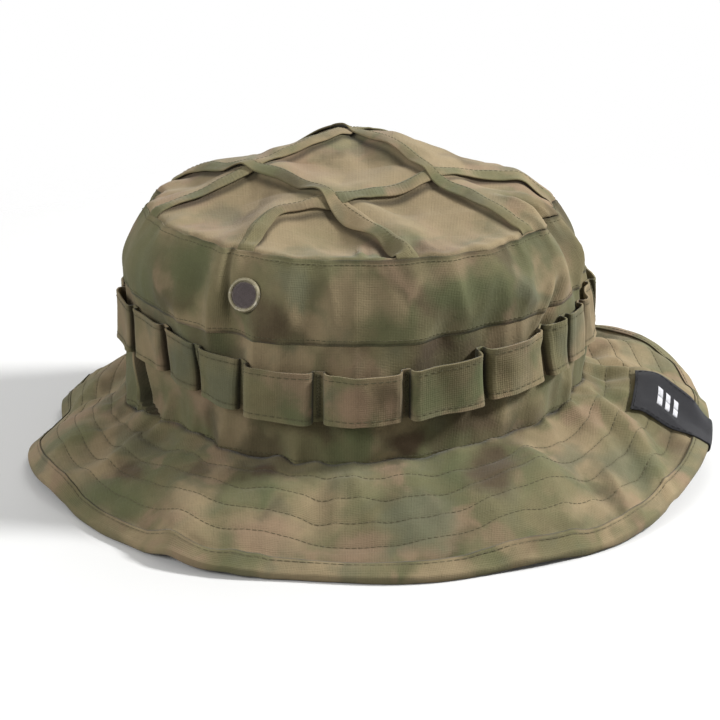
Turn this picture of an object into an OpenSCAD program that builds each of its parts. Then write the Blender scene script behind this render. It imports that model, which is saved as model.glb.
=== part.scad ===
// Boonie hat: a soft sun hat with a tall crown, a strip of foliage loops and a quilted drooping brim.
// +Z is up, -Y is the front of the hat, +X is the wearer's left, and the brim's edge rests at z = 0.

/* [Crown] */
// Length of the crown at the brim seam, front to back
crown_len = 204; // [185:1:245]
// Width of the crown at the brim seam, side to side
crown_wid = 171; // [150:1:206]
// Height of the crown's top seam at the front
rim_front = 113; // [100:1:136]
// Height of the crown's top seam at the sides
rim_side = 109; // [98:1:132]
// Height of the crown's top seam at the back
rim_back = 111; // [100:1:134]
// How far the wall leans in from the brim seam to the shoulder
wall_lean = 3; // [0:0.5:8]
// How much further the wall turns in above the shoulder
shoulder_in = 10; // [4:0.5:14]
// Height of the crown's dome above the top seam
dome_rise = 20; // [10:1:26]
// How much the dome leans over to the hat's far side
dome_lean = 20; // [0:1:20]
// Thickness of the crown's wall, with its turned-in seams
wall_t = 1.2; // [0.8:0.1:2]
// Thickness of the crown's top
top_t = 1.4; // [0.8:0.1:2]

/* [Brim] */
// Height of the brim seam at the front
seam_front = 29; // [22:1:36]
// Height of the brim seam at the sides
seam_side = 27; // [22:1:36]
// Height of the brim seam at the back
seam_back = 37; // [26:1:44]
// Width of the brim's cloth at the front, seam to edge
brim_front = 51; // [44:1:62]
// Width of the brim's cloth at the sides
brim_side = 56; // [46:1:68]
// Width of the brim's cloth at the back
brim_back = 59; // [48:1:71]
// How far the middle of the brim bows up between seam and edge
brim_bow = 2; // [0:0.5:5]
// How high the brim's edge lifts at the back of each side
brim_curl = 19; // [0:1:23]
// Thickness of each of the brim's three layers
layer_t = 0.7; // [0.5:0.1:1]
// Thickness of the tape that binds the brim's edge
bind_t = 0.7; // [0.5:0.1:1]
// Width of the binding on each face of the brim
bind_w = 5; // [3:0.5:9]

/* [Foliage loops] */
// Height of the loop strip's top edge at the front
loops_front = 77; // [66:1:90]
// Height of the loop strip's top edge at the sides
loops_side = 67; // [58:1:80]
// Height of the loop strip's top edge at the back
loops_back = 80; // [68:1:94]
// Width of the strip, from its lower to its upper edge
loop_h = 21; // [14:1:26]
// How far each loop stands off the crown in its middle
loop_stand = 7.2; // [5.5:0.1:9]
// Thickness of the strip
loop_t = 1; // [0.6:0.1:1.6]

/* [Vents] */
// Outer radius of a vent's flange
vent_r = 7; // [6:0.25:8.5]
// Radius of the seat that holds a vent's screen
screen_r = 5.5; // [4.25:0.25:6]
// Angle of a vent towards the front from the hat's side
vent_turn = 27; // [15:1:40]
// Place of a vent between the brim seam (0) and the top seam (1)
vent_up = 0.82; // [0.74:0.01:0.83]

/* [Inside] */
// Height of the sweatband inside the crown, as a share of the wall
sweat_up = 0.38; // [0.25:0.01:0.5]
// Thickness of the sweatband
sweat_t = 1; // [0.6:0.1:1.6]
// Thickness of the elastic in the back of the sweatband
elastic_t = 0.8; // [0.5:0.1:1.2]
// Thickness of the binding over the top seam's allowance
tape_t = 0.6; // [0.4:0.1:1]

/* [Label] */
// Angle of the label from the hat's side towards the back
label_turn = 80; // [60:1:85]
// Width of the label along the brim's edge
label_w = 20; // [10:1:22]
// Length of the label on the brim's upper face
label_len = 33; // [18:1:36]
// Length of the label on the brim's lower face
label_tail = 12; // [8:1:20]
// Thickness of the label
label_t = 0.6; // [0.4:0.1:1]

/* [Hidden] */

// Clear space between two layers of cloth that lie on each other
ply_gap = 0.1;
// Clear space between a piece and the curved surface that it is sewn to
seat_gap = 0.15;
// Share of the wall where the shoulder starts to turn in
shoulder_from = 0.7;
// Share of the wall where the two bands meet
band_split = 0.62;
// Angles at which the rings have a section
ring_step = 5;
ring_angles = [0 : ring_step : 360 - ring_step];

// Rows of the bands, the dome and the brim, as shares of their width
upper_rows = [band_split + ply_gap / (rim_side - seam_side), shoulder_from, 0.77, 0.84, 0.91, 0.955, 1];
lower_rows = [0, band_split / 2, band_split];
tape_rows = [0.93, 0.955, 0.985];
sweat_rows = [0, sweat_up / 2, sweat_up];
dome_rows = [0.25, 0.5, 0.7, 0.86];

// Lifts of the brim's edge above the surface: angle, height, half-width in degrees
lifts = [[75, brim_curl * 9 / 19, 18], [118, brim_curl, 26], [-78, 2, 16], [-148, 3, 12], [-28, 1.5, 9]];
// Places where the brim's edge folds in (or reaches further, if minus): angle, loss, half-width in degrees
folds = [[43, -5, 17], [133, -5, 12], [-24, -4.5, 12], [10, -2.7, 12], [-95, 10.5, 9], [-60, 1.6, 10]];
// Angles at which the loop strip is tacked to the crown
tacks = [-68, -53, -40, -27, -9, 11, 31, 49, 58, 68, 84, 103, 124, 146, 168, 190, 212, 236, 258, 275, 292];
// Places along one loop, from tack to tack
loop_places = [0, 0.05, 0.12, 0.22, 0.35, 0.5, 0.65, 0.78, 0.88, 0.95, 1];
// Share of a loop that is stitched down at each of its ends
tack_share = 0.05;
// Angle between one loop's end and the next one's start, which is about a ply's gap
tack_split = 0.06;

// Half of the brim's three layers, and the height of its middle above the surface at rest
half_stack = 1.5 * layer_t + ply_gap;
bind_in = half_stack + ply_gap;
bind_out = bind_in + bind_t;
label_in = bind_out + 2 * seat_gap;
label_out = label_in + label_t;
// Depth of the pocket that the elastic makes between sweatband and wall
pocket = elastic_t + seat_gap;

// A value that is given at the front, the sides and the back, at the angle t
function around(front, side, back, t) =
    side + (back - front) / 2 * sin(t) + ((back + front) / 2 - side) * pow(sin(t), 2);
// Smallest difference between two angles
function turn(t, to) = abs((t - to + 900) % 360 - 180);
// A bell of the half-width w around the angle at
function bell(t, at, w) = exp(-pow(turn(t, at) / w, 2));
function bells(list, t) = let (all = [for (b = list) b[1] * bell(t, b[0], b[2])]) all * [for (b = list) 1];

// A point off millimetres outside the ellipse of the brim seam
function plan_pt(t, off, z) =
    let (a = crown_wid / 2, b = crown_len / 2)
    let (across = [cos(t) / a, sin(t) / b])
    let (n = across / norm(across))
    [a * cos(t) + off * n[0], b * sin(t) + off * n[1], z];

function seam_z(t) = around(seam_front, seam_side, seam_back, t);
function rim_z(t) = around(rim_front, rim_side, rim_back, t);
function loops_z(t) = around(loops_front, loops_side, loops_back, t);
function wall_z(t, u) = seam_z(t) + u * (rim_z(t) - seam_z(t));
function wall_u(t, z) = (z - seam_z(t)) / (rim_z(t) - seam_z(t));
function turned_in(u) = wall_lean * u + shoulder_in * pow(max(0, u - shoulder_from) / (1 - shoulder_from), 2);

function edge_z(t) = bind_out + bells(lifts, t);
function reach(t) = let (w = around(brim_front, brim_side, brim_back, t))
    sqrt(pow(w, 2) - pow(seam_z(t) - edge_z(t), 2)) - bells(folds, t);

// The hat is centred over the middle of the brim's outline
nose = ply_gap + bind_t;
outline = [for (t = ring_angles) plan_pt(t, reach(t) + nose, 0)];
outline_x = [for (p = outline) p[0]];
outline_y = [for (p = outline) p[1]];
centre = [(max(outline_x) + min(outline_x)) / 2, (max(outline_y) + min(outline_y)) / 2, 0];

// Points of the crown's wall: u runs up the wall, and o stands out from its outer face
wall_pt = function (t, u, o) plan_pt(t, o - turned_in(u), wall_z(t, u)) - centre;
// Points of the loop strip: z is a height, and o stands out from the wall's outer face
strip_pt = function (t, z, o) plan_pt(t, o - turned_in(wall_u(t, z)), z) - centre;
// Points of the brim: v runs out from the seam to the edge, and o stands above its middle layer
brim_pt = function (t, v, o)
    let (w = min(v, 1))
    let (z = seam_z(t) + (edge_z(t) - seam_z(t)) * w + brim_bow * 4 * w * (1 - w) + o)
    plan_pt(t, seat_gap + (reach(t) - seat_gap) * v, z) - centre;
// Points of the crown's top: q runs from the middle (0) to the top seam (1), and o stands above the underside
function dome_pt(t, q, o) =
    let (rim = plan_pt(t, -turned_in(1), rim_z(t)))
    let (fall = 1 - q * q)
    let (rise = fall * (dome_rise - dome_lean * q * cos(t)))
    [rim[0] * q, rim[1] * q, rim[2] * q * q + rim_side * fall + rise + ply_gap + o] - centre;

// Both sides of a sheet as one outline: out along the rows at o2, and back at o1
function sheet(rows, o1, o2) = concat(
    [for (r = rows) [r, o2]],
    [for (k = [len(rows) - 1 : -1 : 0]) [rows[k], o1]]);

// Two triangles that close the gap between the sections i and j, from the outline's point k to m
// The diagonal runs the same way on both faces of a sheet, so sheets that lie on each other match
function patch(i, j, k, m, outward) = outward
    ? [[i + k, i + m, j + m], [i + k, j + m, j + k]]
    : [[i + k, i + m, j + k], [i + m, j + m, j + k]];

// A closed ring with the same outline at every angle
module ring(outline_rows, place) {
    count = len(outline_rows);
    angles = [for (t = ring_angles) t];
    points = [for (t = angles) each [for (r = outline_rows) place(t, r[0], r[1])]];
    faces = [for (s = [0 : len(angles) - 1]) each
        [for (k = [0 : count - 1]) each
            patch(s * count, ((s + 1) % len(angles)) * count, k, (k + 1) % count,
                outline_rows[(k + 1) % count][0] >= outline_rows[k][0])]];
    polyhedron(points, faces);
}

// A strip that runs through given sections and ends in two flat faces
module strip(sections) {
    count = len(sections[0]);
    half = count / 2;
    last = (len(sections) - 1) * count;
    sides = [for (s = [0 : len(sections) - 2]) each
        [for (k = [0 : count - 1]) each patch(s * count, (s + 1) * count, k, (k + 1) % count, k < half - 1)]];
    ends = [for (k = [0 : half - 2]) each
        [[k, count - 1 - k, count - 2 - k, k + 1],
         [last + k, last + k + 1, last + count - 2 - k, last + count - 1 - k]]];
    polyhedron([for (s = sections) each s], concat(sides, ends));
}

// Top of the crown, which stands on the upper band's edge
module crown_top() {
    lip = turned_in(1) + wall_t;
    under = [for (q = dome_rows) [q, 0]];
    over = [for (k = [len(dome_rows) - 1 : -1 : 0]) [dome_rows[k], top_t]];
    function section(t) = concat(
        [for (r = under) dome_pt(t, r[0], r[1])],
        [plan_pt(t, -lip, rim_z(t) + ply_gap) - centre, dome_pt(t, 1, 0), dome_pt(t, 1, top_t)],
        [for (r = over) dome_pt(t, r[0], r[1])]);
    angles = [for (t = ring_angles) t];
    count = len(section(0));
    middle = len(angles) * count;
    sides = [for (s = [0 : len(angles) - 1]) each
        [for (k = [0 : count - 2]) each
            patch(s * count, ((s + 1) % len(angles)) * count, k, k + 1, k <= len(dome_rows))]];
    caps = [for (s = [0 : len(angles) - 1]) each
        let (i = s * count, j = ((s + 1) % len(angles)) * count)
        [[i, j, middle], [j + count - 1, i + count - 1, middle + 1]]];
    color("#8f8262")
        polyhedron(
            concat([for (t = angles) each section(t)], [dome_pt(0, 0, 0), dome_pt(0, 0, top_t)]),
            concat(sides, caps));
}

// Upper half of the crown's wall, with a hole for each vent
module crown_band_upper() {
    color("#7d7a55")
        difference() {
            ring(sheet(upper_rows, -wall_t, 0), wall_pt);
            for (side = [1, -1]) vent_place(side) cylinder(r = barrel_out + seat_gap, h = 12, center = true, $fn = 48);
        }
}

module crown_band_lower() {
    color("#6f6a49") ring(sheet(lower_rows, -wall_t, 0), wall_pt);
}

// Binding over the raw edges of the top seam, on the inside
module crown_seam_binding() {
    color("#5b5a3e") ring(sheet(tape_rows, -wall_t - seat_gap - tape_t, -wall_t - seat_gap), wall_pt);
}

// Foliage loops: one solid for each stretch of the strip between two tacks
module branch_loops() {
    function stand(p) = let (free = max(0, min(1, (p - tack_share) / (1 - 2 * tack_share))))
        seat_gap + loop_stand * (1 - pow(2 * free - 1, 4));
    function section(t, o) = [strip_pt(t, loops_z(t) - loop_h, o + loop_t), strip_pt(t, loops_z(t), o + loop_t),
        strip_pt(t, loops_z(t), o), strip_pt(t, loops_z(t) - loop_h, o)];
    color("#77744c")
        for (k = [0 : len(tacks) - 2])
            strip([for (p = loop_places)
                section(tacks[k] + p * (tacks[k + 1] - tacks[k] - tack_split), stand(p))]);
}

// Rows of a brim layer: the seam, the quilting, the binding's edge and the brim's edge
brim_rows = [0, 0.3, 0.6, 1 - bind_w / brim_side, 1];

module brim_upper() {
    color("#85805a") ring(sheet(brim_rows, layer_t / 2 + ply_gap, half_stack), brim_pt);
}

module brim_interlining() {
    color("#b9b4a0") ring(sheet(brim_rows, -layer_t / 2, layer_t / 2), brim_pt);
}

module brim_lower() {
    color("#6d6b4a") ring(sheet(brim_rows, -half_stack, -layer_t / 2 - ply_gap), brim_pt);
}

// Tape folded round the brim's edge
module brim_edge_binding() {
    from = brim_rows[3];
    near = 1 + ply_gap / brim_side;
    far = 1 + nose / brim_side;
    color("#746f4e")
        ring([[from, bind_out], [1, bind_out], [far, bind_in], [far, -bind_in], [1, -bind_out], [from, -bind_out],
            [from, -bind_in], [near, -bind_in], [near, bind_in], [from, bind_in]], brim_pt);
}

// Sweatband inside the crown, eased away from the wall where the elastic lies
module sweatband() {
    room = function (t) pocket * (1 - pow(min(1, turn(t, 90) / 60), 4));
    place = function (t, u, o) wall_pt(t, u, o - room(t));
    color("#4b4c36") ring(sheet(sweat_rows, -wall_t - seat_gap - sweat_t, -wall_t - seat_gap), place);
}

// Elastic that gathers the back of the crown, between sweatband and wall
module back_elastic() {
    low = 0.2 * sweat_up;
    high = 0.8 * sweat_up;
    outer = -wall_t - seat_gap / 2;
    inner = outer - elastic_t;
    color("#d8d4c4")
        strip([for (t = [60 : ring_step : 120])
            [wall_pt(t, low, outer), wall_pt(t, high, outer), wall_pt(t, high, inner), wall_pt(t, low, inner)]]);
}

// Barrel of a vent's eyelet, inside and outside radius
ledge = 0.6;
barrel_in = screen_r - ledge;
barrel_out = barrel_in + 0.4;
// Depth behind the wall's outer face at which a vent's washer clears the curved wall
washer_z = -wall_t - 1.35;
washer_t = 0.6;
flange_t = 1.2;
screen_t = 0.4;

// Stands what is drawn on z = 0 on the wall's outer face, at the vent of one side; the right vent
// mirrors the left one about the crown's own middle
module vent_place(side) {
    t = -vent_turn;
    up = wall_pt(t, vent_up + 0.01, 0) - wall_pt(t, vent_up - 0.01, 0);
    along = wall_pt(t + 1, vent_up, 0) - wall_pt(t - 1, vent_up, 0);
    n = cross(along, up) / norm(cross(along, up));
    spot = wall_pt(t, vent_up, 0);
    middle = [centre[0], 0, 0];
    translate(-middle) mirror([side > 0 ? 0 : 1, 0, 0]) translate(spot + middle)
        rotate([0, acos(n[2]), atan2(n[1], n[0])]) children();
}

// Flanged eyelet, whose barrel passes through the wall
module vent_eyelet(side) {
    low = washer_z - washer_t - 0.4;
    rest = seat_gap;
    color("#a59c7c")
        vent_place(side)
            rotate_extrude($fn = 64)
                polygon([[barrel_in, low], [barrel_out, low], [barrel_out, rest], [vent_r, rest],
                    [vent_r, rest + flange_t / 2], [vent_r - 0.5, rest + flange_t],
                    [screen_r + 0.5, rest + flange_t], [screen_r, rest + flange_t - 0.3],
                    [screen_r, rest + 0.4], [barrel_in, rest + 0.4]]);
}

// Fine screen on the ledge inside the eyelet
module vent_screen(side) {
    color("#6e6a70")
        vent_place(side)
            translate([0, 0, seat_gap + 0.45])
                cylinder(r = screen_r - ply_gap, h = screen_t, $fn = 64);
}

// Washer that clamps the eyelet from the inside
module vent_washer(side) {
    color("#8d866c")
        vent_place(side)
            translate([0, 0, washer_z - washer_t])
                difference() {
                    cylinder(r = vent_r, h = washer_t, $fn = 64);
                    translate([0, 0, -1]) cylinder(r = barrel_out + ply_gap, h = washer_t + 2, $fn = 64);
                }
}

// Woven label, folded over the brim's edge
module brim_label() {
    reach_there = reach(label_turn);
    half_turn = label_w / norm(brim_pt(label_turn + 0.5, 1, 0) - brim_pt(label_turn - 0.5, 1, 0)) / 2;
    top_end = 1 - label_len / reach_there;
    tail_end = 1 - label_tail / reach_there;
    near = 1 + (nose + seat_gap) / reach_there;
    far = near + label_t / reach_there;
    outer = [[top_end, label_out], [(top_end + 1) / 2, label_out], [1, label_out], [far, bind_in],
        [far, -bind_in], [1, -label_out], [tail_end, -label_out]];
    inner = [[tail_end, -label_in], [1, -label_in], [near, -bind_in], [near, bind_in],
        [1, label_in], [(top_end + 1) / 2, label_in], [top_end, label_in]];
    color("#2b2b2d")
        strip([for (k = [-2 : 2])
            [for (r = concat(outer, inner)) brim_pt(label_turn + k / 2 * half_turn, r[0], r[1])]]);
}

crown_top();
crown_band_upper();
crown_band_lower();
crown_seam_binding();
branch_loops();
brim_upper();
brim_interlining();
brim_lower();
brim_edge_binding();
sweatband();
back_elastic();
vent_eyelet(1);  // vent_eyelet_left
vent_screen(1);  // vent_screen_left
vent_washer(1);  // vent_washer_left
vent_eyelet(-1);  // vent_eyelet_right
vent_screen(-1);  // vent_screen_right
vent_washer(-1);  // vent_washer_right
brim_label();
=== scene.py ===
import math

import bpy
import numpy as np
from bpy.props import FloatProperty, FloatVectorProperty, PointerProperty
from bpy.types import Operator, Panel, PropertyGroup
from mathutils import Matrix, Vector


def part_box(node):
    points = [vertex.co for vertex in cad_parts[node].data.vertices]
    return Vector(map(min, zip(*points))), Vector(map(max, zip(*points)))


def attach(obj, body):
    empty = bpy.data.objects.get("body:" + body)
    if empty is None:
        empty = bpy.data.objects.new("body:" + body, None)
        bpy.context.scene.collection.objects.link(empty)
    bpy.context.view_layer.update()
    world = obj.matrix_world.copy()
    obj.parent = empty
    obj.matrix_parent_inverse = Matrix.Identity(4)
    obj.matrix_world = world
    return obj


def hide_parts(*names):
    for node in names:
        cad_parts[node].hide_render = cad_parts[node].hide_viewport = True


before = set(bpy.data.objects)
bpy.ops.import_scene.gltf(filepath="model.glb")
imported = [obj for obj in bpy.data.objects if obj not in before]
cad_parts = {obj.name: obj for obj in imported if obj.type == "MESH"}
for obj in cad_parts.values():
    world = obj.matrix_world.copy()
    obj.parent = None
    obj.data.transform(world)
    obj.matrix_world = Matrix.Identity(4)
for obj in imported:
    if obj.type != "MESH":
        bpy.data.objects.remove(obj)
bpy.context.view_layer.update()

bl_info = {
    "name": "Boonie hat",
    "version": (1, 0, 0),
    "blender": (4, 5, 0),
    "location": "3D View > Sidebar > Hat",
    "description": "Sews a soft sun hat with foliage loops around its fixed frame",
    "category": "Object",
}

MM = 0.001
BAND_LOW, BAND_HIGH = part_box("crown_band_lower")
MIDDLE = (BAND_LOW + BAND_HIGH) / 2
HALF = (BAND_HIGH - BAND_LOW) / 2 / MM


def length(name, description, mm):
    """A size that the user can change, given here in millimetres."""
    return FloatProperty(name=name, description=description, default=mm * MM, unit="LENGTH", precision=4)


def colour(name, description, *shades):
    """A colour that the user can change, given here in the 0 to 255 shades of a paint chart."""
    part = [s / 255 for s in shades]
    plain = [p / 12.92 if p <= 0.04045 else ((p + 0.055) / 1.055) ** 2.4 for p in part]
    settings = {"size": 3, "subtype": "COLOR", "min": 0, "max": 1}
    return FloatVectorProperty(name=name, description=description, default=plain, **settings)


class HatSizes(PropertyGroup):
    """Sizes of the hat's cloth pieces, which follow the frame."""

    half_width: length("Half width", "Half of the crown's width at the brim seam", HALF.x)
    half_length: length("Half length", "Half of the crown's length at the brim seam", HALF.y)
    seam_front: length("Brim seam, front", "Height of the brim seam at the front", 29)
    seam_side: length("Brim seam, sides", "Height of the brim seam at the sides", 27)
    seam_back: length("Brim seam, back", "Height of the brim seam at the back", 37)
    rim_front: length("Top seam, front", "Height of the crown's top seam at the front", 113)
    rim_side: length("Top seam, sides", "Height of the crown's top seam at the sides", 109)
    rim_back: length("Top seam, back", "Height of the crown's top seam at the back", 111)
    loops_front: length("Loops, front", "Height of the loop strip's upper edge at the front", 77)
    loops_side: length("Loops, sides", "Height of the loop strip's upper edge at the sides", 67)
    loops_back: length("Loops, back", "Height of the loop strip's upper edge at the back", 80)
    loop_height: length("Loop strip", "Width of the strip of foliage loops", 21)
    loop_stand: length("Loop stand", "How far a loop stands off the crown", 4.3)
    wall_lean: length("Lean", "How far the crown's wall leans in below its shoulder", 3)
    shoulder_in: length("Shoulder", "How much further the wall turns in above its shoulder", 10)
    dome_rise: length("Dome rise", "Height of the dome above the top seam", 20)
    dome_lean: length("Dome lean", "How much the dome leans to the hat's right side", 20)
    peak_rise: length("Peak", "How much further the cloth stands up where two tucks cross at its top", 2.5)
    tuck_width: length("Tuck width", "Width of a folded tuck in the crown's top", 6)
    tuck_lift: length("Tuck lift", "How far a tuck's free edge stands off the cloth below", 0.9)
    brim_front: length("Brim, front", "Width of the brim's cloth at the front", 51)
    brim_side: length("Brim, sides", "Width of the brim's cloth at the sides", 56)
    brim_back: length("Brim, back", "Width of the brim's cloth at the back", 59)
    brim_bow: length("Brim bow", "How far the middle of the brim bows up", 2)
    brim_curl: length("Brim curl", "How high the brim's edge lifts at the back of each side", 19)
    hem_width: length("Hem", "Width of the folded hem at the brim's edge", 5.5)
    cloth: length("Cloth", "Thickness of the main cloth", 0.55)
    thread: length("Thread", "Radius of the sewing thread", 0.13)


class HatColours(PropertyGroup):
    """Colours of the cloth, the metal and the stage."""

    khaki: colour("Khaki", "Ground of the camouflage print", 121, 113, 82)
    tan: colour("Tan", "Pale patches of the print", 152, 135, 104)
    green: colour("Green", "Green patches of the print", 98, 102, 70)
    grey_green: colour("Grey green", "Cool patches of the print", 108, 108, 84)
    brown: colour("Brown", "Dark patches of the print", 84, 70, 52)
    rose: colour("Rose tan", "Warm patches of the print", 150, 127, 102)
    thread: colour("Thread", "Sewing thread", 92, 88, 62)
    dark_thread: colour("Dark thread", "Thread of the quilting", 98, 92, 68)
    sweatband: colour("Sweatband", "Soft twill against the head", 76, 78, 58)
    elastic: colour("Elastic", "Knitted elastic at the back", 205, 200, 184)
    interlining: colour("Interlining", "Stiff felt inside the brim", 196, 192, 176)
    metal: colour("Eyelet", "Lacquered metal of the vents", 138, 130, 104)
    wire: colour("Wire", "Woven wire of the vents", 128, 117, 116)
    label: colour("Label", "Ground of the woven label", 36, 36, 40)
    mark: colour("Label mark", "Pale bars on the label", 222, 222, 226)
    floor: colour("Floor", "Floor and backdrop", 244, 244, 243)


# Shares of the wall's height: where the two bands meet, the shoulder begins and the sweatband ends
BAND_SPLIT = 0.62
SHOULDER_FROM = 0.7
SWEATBAND_TOP = 0.38
# Rows of stitches along the sweatband, as shares of its height
SWEATBAND_ROWS = (0.07, 0.93)
# Height of the wall's cloth, and the least width of the brim's
WALL_TALL = 82 * MM
BRIM_WIDE = 50 * MM
# From the middle of the brim's layers to its faces, and to the faces of its hem
HALF_STACK = 1.15 * MM
HEM_OUT = 1.95 * MM
VENT_TURN = 27
VENT_UP = 0.82
VENT_HOLE = 5 * MM
LABEL_TURN = 80
LABEL_WIDTH = 20 * MM
LABEL_LENGTH = 33 * MM
LABEL_TAIL = 12 * MM
# Lifts of the brim's edge, and folds that draw it in: angle, millimetres and half-width in degrees
LIFTS = [(75, 9, 18), (118, 19, 26), (-78, 2, 16), (-148, 3, 12), (-28, 1.5, 9)]
FOLDS = [(43, -5, 17), (133, -5, 12), (-24, -4.5, 12), (10, -2.7, 12), (-95, 10.5, 9), (-60, 1.6, 10)]
# Angles of the tacks between the foliage loops, of which one is wider
WIDE_TACK = -9
TACKS = [-68, -53, -40, -27, -9, 11, 31, 49, 58, 68, 84, 103, 124, 146, 168, 190, 212, 236, 258, 275, 292]
# Rows of quilting, as shares of the brim's width
QUILTING = [0.18, 0.36, 0.54, 0.72]
# Run of each folded tuck over the crown's top, in millimetres from the crown's middle
TUCKS = {
    "a": [(20, -89), (13, -73), (7, -58), (-2, -42), (-21, -17), (-37, -2), (-52, 13), (-70, 33)],
    "b": [(-70, -38), (-53, -20), (-37, -3), (-12, 17), (8, 34), (19, 48), (31, 60), (42, 78)],
    "c": [(-28, -89), (-25, -68), (-4, -48), (14, -25), (28, -8), (46, 9), (73, 27)],
    "d": [(65, -49), (40, -38), (31, -22), (25, -3), (16, 16), (7, 32), (-4, 53), (-5, 90)],
}
# The tucks that each upper tuck crosses over
OVER = {"b": ("a", "d"), "c": ("a", "d")}
TUCK_COLUMNS = 170


def sizes():
    return bpy.context.scene.hat_sizes


def colours():
    return bpy.context.scene.hat_colours


def smooth(x, low, high):
    """0 below low, 1 above high, and an even rise between them."""
    w = np.clip((np.asarray(x, float) - low) / (high - low), 0, 1)
    return w * w * (3 - 2 * w)


def turn(t, at):
    """Signed difference of two angles in degrees, from -180 to 180."""
    return (t - at + 180) % 360 - 180


def hump(x, wide, power=2):
    """1 where x is 0, falling to almost nothing at twice that width; a higher power has a flatter top."""
    return np.exp(-((x / wide) ** power))


def bell(t, at, width):
    """A hump at one angle of a ring."""
    return hump(turn(t, at), width)


def crest(t, at, width):
    """A ridge with a sharp top."""
    return np.exp(-np.sqrt((turn(t, at) / width) ** 2 + 0.02))


def unit(ways):
    """Directions scaled to a length of 1."""
    return ways / np.linalg.norm(ways, axis=-1, keepdims=True)


def lengths(path):
    """Length along a path from its start to each of its points."""
    return np.concatenate([[0], np.cumsum(np.linalg.norm(np.diff(path, axis=0), axis=1))])


def waves(points, size, seed, count=18):
    """Smooth noise, mostly between -1 and 1, with bumps of about that size."""
    draw = np.random.RandomState(seed)
    way = draw.normal(size=(count, 3))
    way = unit(way) * math.pi / size * draw.uniform(0.65, 1.4, (count, 1))
    start = draw.uniform(0, 2 * math.pi, count)
    total = np.zeros(points.shape[:-1])
    for w, s in zip(way, start):
        total += np.sin(points @ w + s)
    return total / math.sqrt(count) * 0.9


def creases(points, size, seed):
    """Noise with sharp crests, as in crumpled cloth, from about -0.8 to 0.6."""
    return 0.6 - 1.8 * np.sqrt(waves(points, size, seed, 12) ** 2 + 0.006)


def ring_points(t, rise, stretch):
    """Places on a ring for noise that runs all the way round; stretch below 1 makes tall wrinkles."""
    t, rise = np.broadcast_arrays(np.radians(t), rise)
    return np.stack([0.094 * np.cos(t), 0.094 * np.sin(t), rise * stretch], -1)


def around(front, side, back, t):
    s = np.sin(np.radians(t))
    return side + (back - front) / 2 * s + ((back + front) / 2 - side) * s * s


def seam_z(t):
    """Height of the seam between the crown and the brim."""
    s = sizes()
    return around(s.seam_front, s.seam_side, s.seam_back, t)


def rim_z(t):
    """Height of the crown's top seam."""
    s = sizes()
    return around(s.rim_front, s.rim_side, s.rim_back, t)


def loops_z(t):
    """Height of the loop strip's upper edge."""
    s = sizes()
    return around(s.loops_front, s.loops_side, s.loops_back, t)


def turned_in(u):
    """How far the wall stands inside the oval at its seam, at a share of its height."""
    s = sizes()
    over = np.maximum(0, np.asarray(u, float) - SHOULDER_FROM) / (1 - SHOULDER_FROM)
    return s.wall_lean * u + s.shoulder_in * over**2


def outward(t):
    """The direction square to the crown's oval at the angle t, in plan."""
    s = sizes()
    across, along = np.cos(np.radians(t)) / s.half_width, np.sin(np.radians(t)) / s.half_length
    size = np.hypot(across, along)
    return across / size, along / size


def plan(t, off):
    """Plan position of the point that is off metres outside the crown's oval, at the angle t."""
    s = sizes()
    across, along = outward(t)
    x = MIDDLE.x + s.half_width * np.cos(np.radians(t)) + off * across
    y = MIDDLE.y + s.half_length * np.sin(np.radians(t)) + off * along
    return x, y


def point(x, y, z):
    """Points from their three parts, each a number or a grid."""
    return np.stack(np.broadcast_arrays(x, y, z), -1)


# ---------------------------------------------------------------- the crown's wall


def wall_z(t, u):
    """Height at a share of the way up the wall."""
    return seam_z(t) + u * (rim_z(t) - seam_z(t))


def wall_share(t, z):
    """Share of the way up the wall at a height."""
    return (z - seam_z(t)) / (rim_z(t) - seam_z(t))


def slit_turn(u):
    """Angle of the deep pleat below the loops, at the front of the left side."""
    return -60 - 5 * smooth(u, 0, 0.07) - 3.5 * smooth(u, 0.07, 0.28)


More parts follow.
